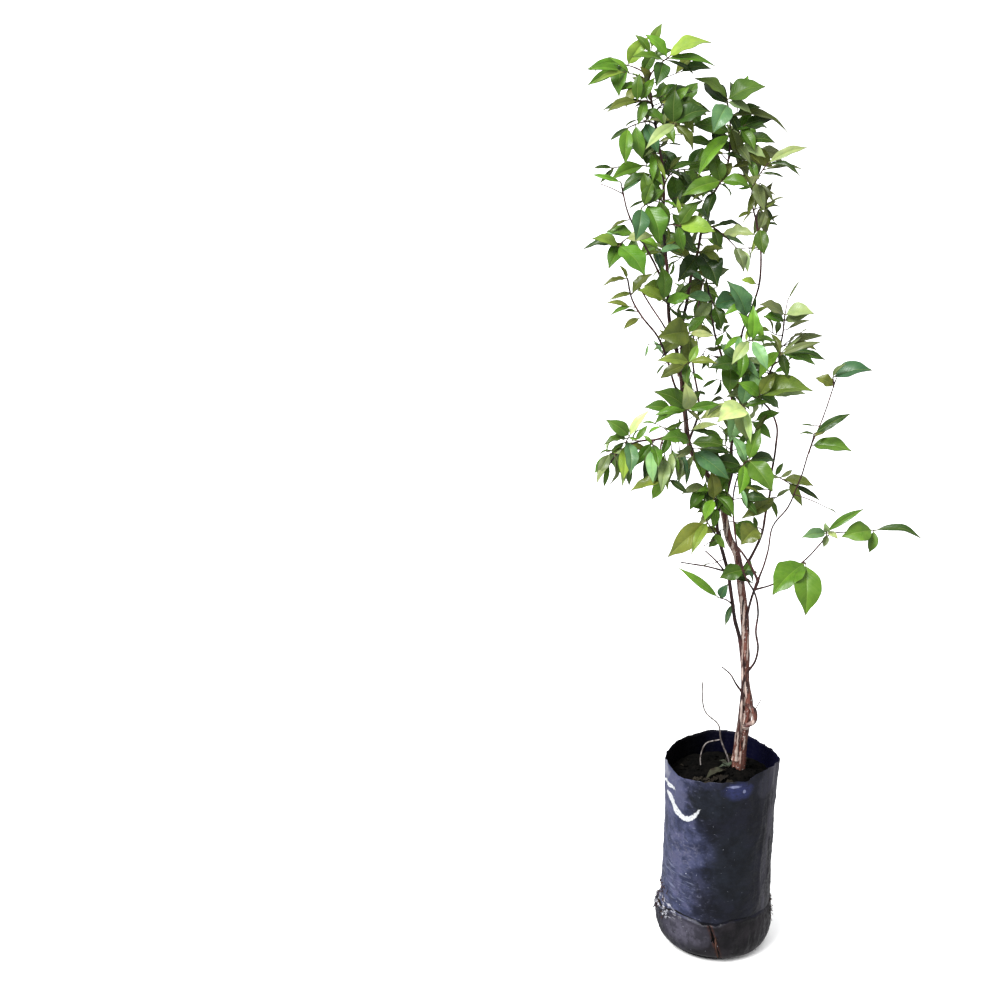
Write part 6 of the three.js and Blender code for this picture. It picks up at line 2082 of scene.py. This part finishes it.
def leaf_finish():
    """A blade: its own green, lighter midrib and side veins, a thin dark margin, and a paler underside."""
    leaf, green, (across, along, facing), mottle = leaf_pattern("leaf", LEAF_ROUGHNESS, 0.42)
    tint = leaf_tints
    width = leaf.value("leaf_width")
    out = leaf.math("ABSOLUTE", across)
    sunny = leaf.mix(1.0, green, tint["sunny"], "MULTIPLY")
    colour = leaf.mix(leaf.range(mottle, 0.35, 0.68, 0.0, 0.45), green, sunny)
    shady = leaf.mix(1.0, colour, tint["shady"], "MULTIPLY")
    colour = leaf.mix(leaf.range(leaf.noise(42, 2), 0.4, 0.62, 0.0, 0.55), colour, shady)
    vein = leaf_veins(leaf, along, out)
    pale = leaf.mix(1.0, leaf.mix(0.5, green, tint["vein"]), tint["vein_light"], "MULTIPLY")
    colour = leaf.lay(colour, vein, 0.1, pale)
    colour = leaf.lay(colour, leaf.range(leaf.times(out, width), 0.5, 0.2), 0.42, pale)
    colour = leaf.lay(colour, leaf.minus(1.0, facing), 0.6, leaf.mix(0.45, colour, tint["underside"]))
    gap = leaf.times(leaf.minus(1.0, out), width)
    colour = leaf.lay(colour, leaf.range(gap, 0.35, 0.1), 0.6, tint["margin"])
    colour = leaf.mix(leaf.range(along, 0.93, 1.0, 0.0, 0.6), colour, tint["tip"])
    leaf.set("Base Color", leaf.mix(leaf.range(along, 0.1, 0.05, 0.0, 0.6), colour, tint["stalk"]))
    leaf.bump(leaf.minus(leaf.times(mottle, 0.35), leaf.times(vein, 0.5)), 0.3, 0.6)
    leaf.set("Roughness", leaf.range(mottle, 0.3, 0.7, LEAF_ROUGHNESS - 0.08, LEAF_ROUGHNESS + 0.1))
    return leaf.material


def dead_leaf_finish():
    """A dead blade: its own dull colour, mottled with brown."""
    leaf, own, (across, along, _), mottle = leaf_pattern("dead_leaf", 0.85, 0.2)
    vein = leaf_veins(leaf, along, leaf.math("ABSOLUTE", across))
    leaf.set("Base Color", leaf.mix(leaf.range(mottle, 0.3, 0.7), own, leaf_tints["dead"]))
    leaf.bump(leaf.minus(leaf.times(mottle, 0.35), leaf.times(vein, 0.5)), 0.3, 0.6)
    return leaf.material


def thin_finish(name, dark, pale):
    """Dry or rooty fibre: two browns in streaks."""
    fibre = Finish(name, 0.8, 0.25)
    streaks = fibre.noise(500, 4, stretch=(1, 1, 0.3))
    fibre.set("Base Color", fibre.mix(fibre.range(streaks, 0.35, 0.65), dark, pale))
    fibre.bump(streaks, 0.25, 0.7)
    return fibre.material


def floor_finish():
    floor = Finish("pale_floor", 0.9, 0.1)
    floor.set("Base Color", floor.mix(floor.noise(3, 3), *FLOOR_COLOURS))
    return floor.material


# The stage.
def make_stage():
    half = FLOOR_HALF_WIDTH
    mesh = bpy.data.meshes.new("floor")
    corners = [(-half, -half, 0), (half, -half, 0), (half, half, 0), (-half, half, 0)]
    mesh.from_pydata(corners, [], [(0, 1, 2, 3)])
    mesh.materials.append(floor_finish())
    floor = bpy.data.objects.new("floor", mesh)
    bpy.context.scene.collection.objects.link(floor)
    floor.visible_diffuse = False
    floor.visible_glossy = False
    floor.visible_shadow = False
    return floor


def make_sun(name, toward, spread, strength, only=None):
    """A soft sun that shines from a direction, on one object alone if it is given."""
    lamp = bpy.data.lights.new(name, "SUN")
    lamp.energy = strength
    lamp.angle = math.radians(spread)
    holder = bpy.data.objects.new(name, lamp)
    x, y, z = unit(np.array(toward, float))
    holder.rotation_euler = (math.acos(z), 0, math.atan2(y, x) + math.pi / 2)
    bpy.context.scene.collection.objects.link(holder)
    if only:
        lit = bpy.data.collections.new(f"{name}_lit")
        lit.objects.link(only)
        holder.light_linking.receiver_collection = lit


def make_lights(floor):
    world = bpy.data.worlds.new("studio")
    bpy.context.scene.world = world
    world.use_nodes = True
    sky = world.node_tree.nodes["Background"]
    sky.inputs["Color"].default_value = (*SKY_COLOUR, 1)
    sky.inputs["Strength"].default_value = SKY_STRENGTH
    make_sun("key_light", KEY_TOWARD, KEY_SPREAD, KEY_STRENGTH)
    make_sun("floor_light", FLOOR_TOWARD, FLOOR_SPREAD, FLOOR_STRENGTH, floor)


def make_camera():
    lens = bpy.data.cameras.new("camera")
    lens.sensor_width = SENSOR_WIDTH
    lens.lens = OBSERVER_LENS
    lens.clip_start, lens.clip_end = VIEW_DEPTH
    camera = bpy.data.objects.new("camera", lens)
    camera.location = OBSERVER_PLACE
    camera.rotation_euler = (math.pi / 2 - pitch, 0, turn)
    bpy.context.scene.collection.objects.link(camera)
    bpy.context.scene.camera = camera
    bpy.context.scene.view_settings.view_transform = "Standard"


def main():
    make_camera()
    make_lights(make_stage())
    bark = bark_finish()
    leaf = leaf_finish()
    dead = dead_leaf_finish()
    soil = soil_finish()
    dry = thin_finish("dry_twig", *DRY_TWIG_COLOURS)
    root = thin_finish("root", *ROOT_COLOURS)
    bends, placed = place_leaves()
    make_shoots(bends, placed, leaf, bark)
    crown = Crown(bends, placed)
    side = place_side_growth(crown)
    young, side_twigs = place_young_growth(crown, bends)
    make_small_growth(side, young, side_twigs, leaf, bark)
    make_wood(bark)
    film = film_finish()
    make_bag(film)
    make_torn_film(film)
    make_soil(soil)
    make_crumbs(soil)
    make_litter(dead)
    make_thin_parts(dry, root)


main()
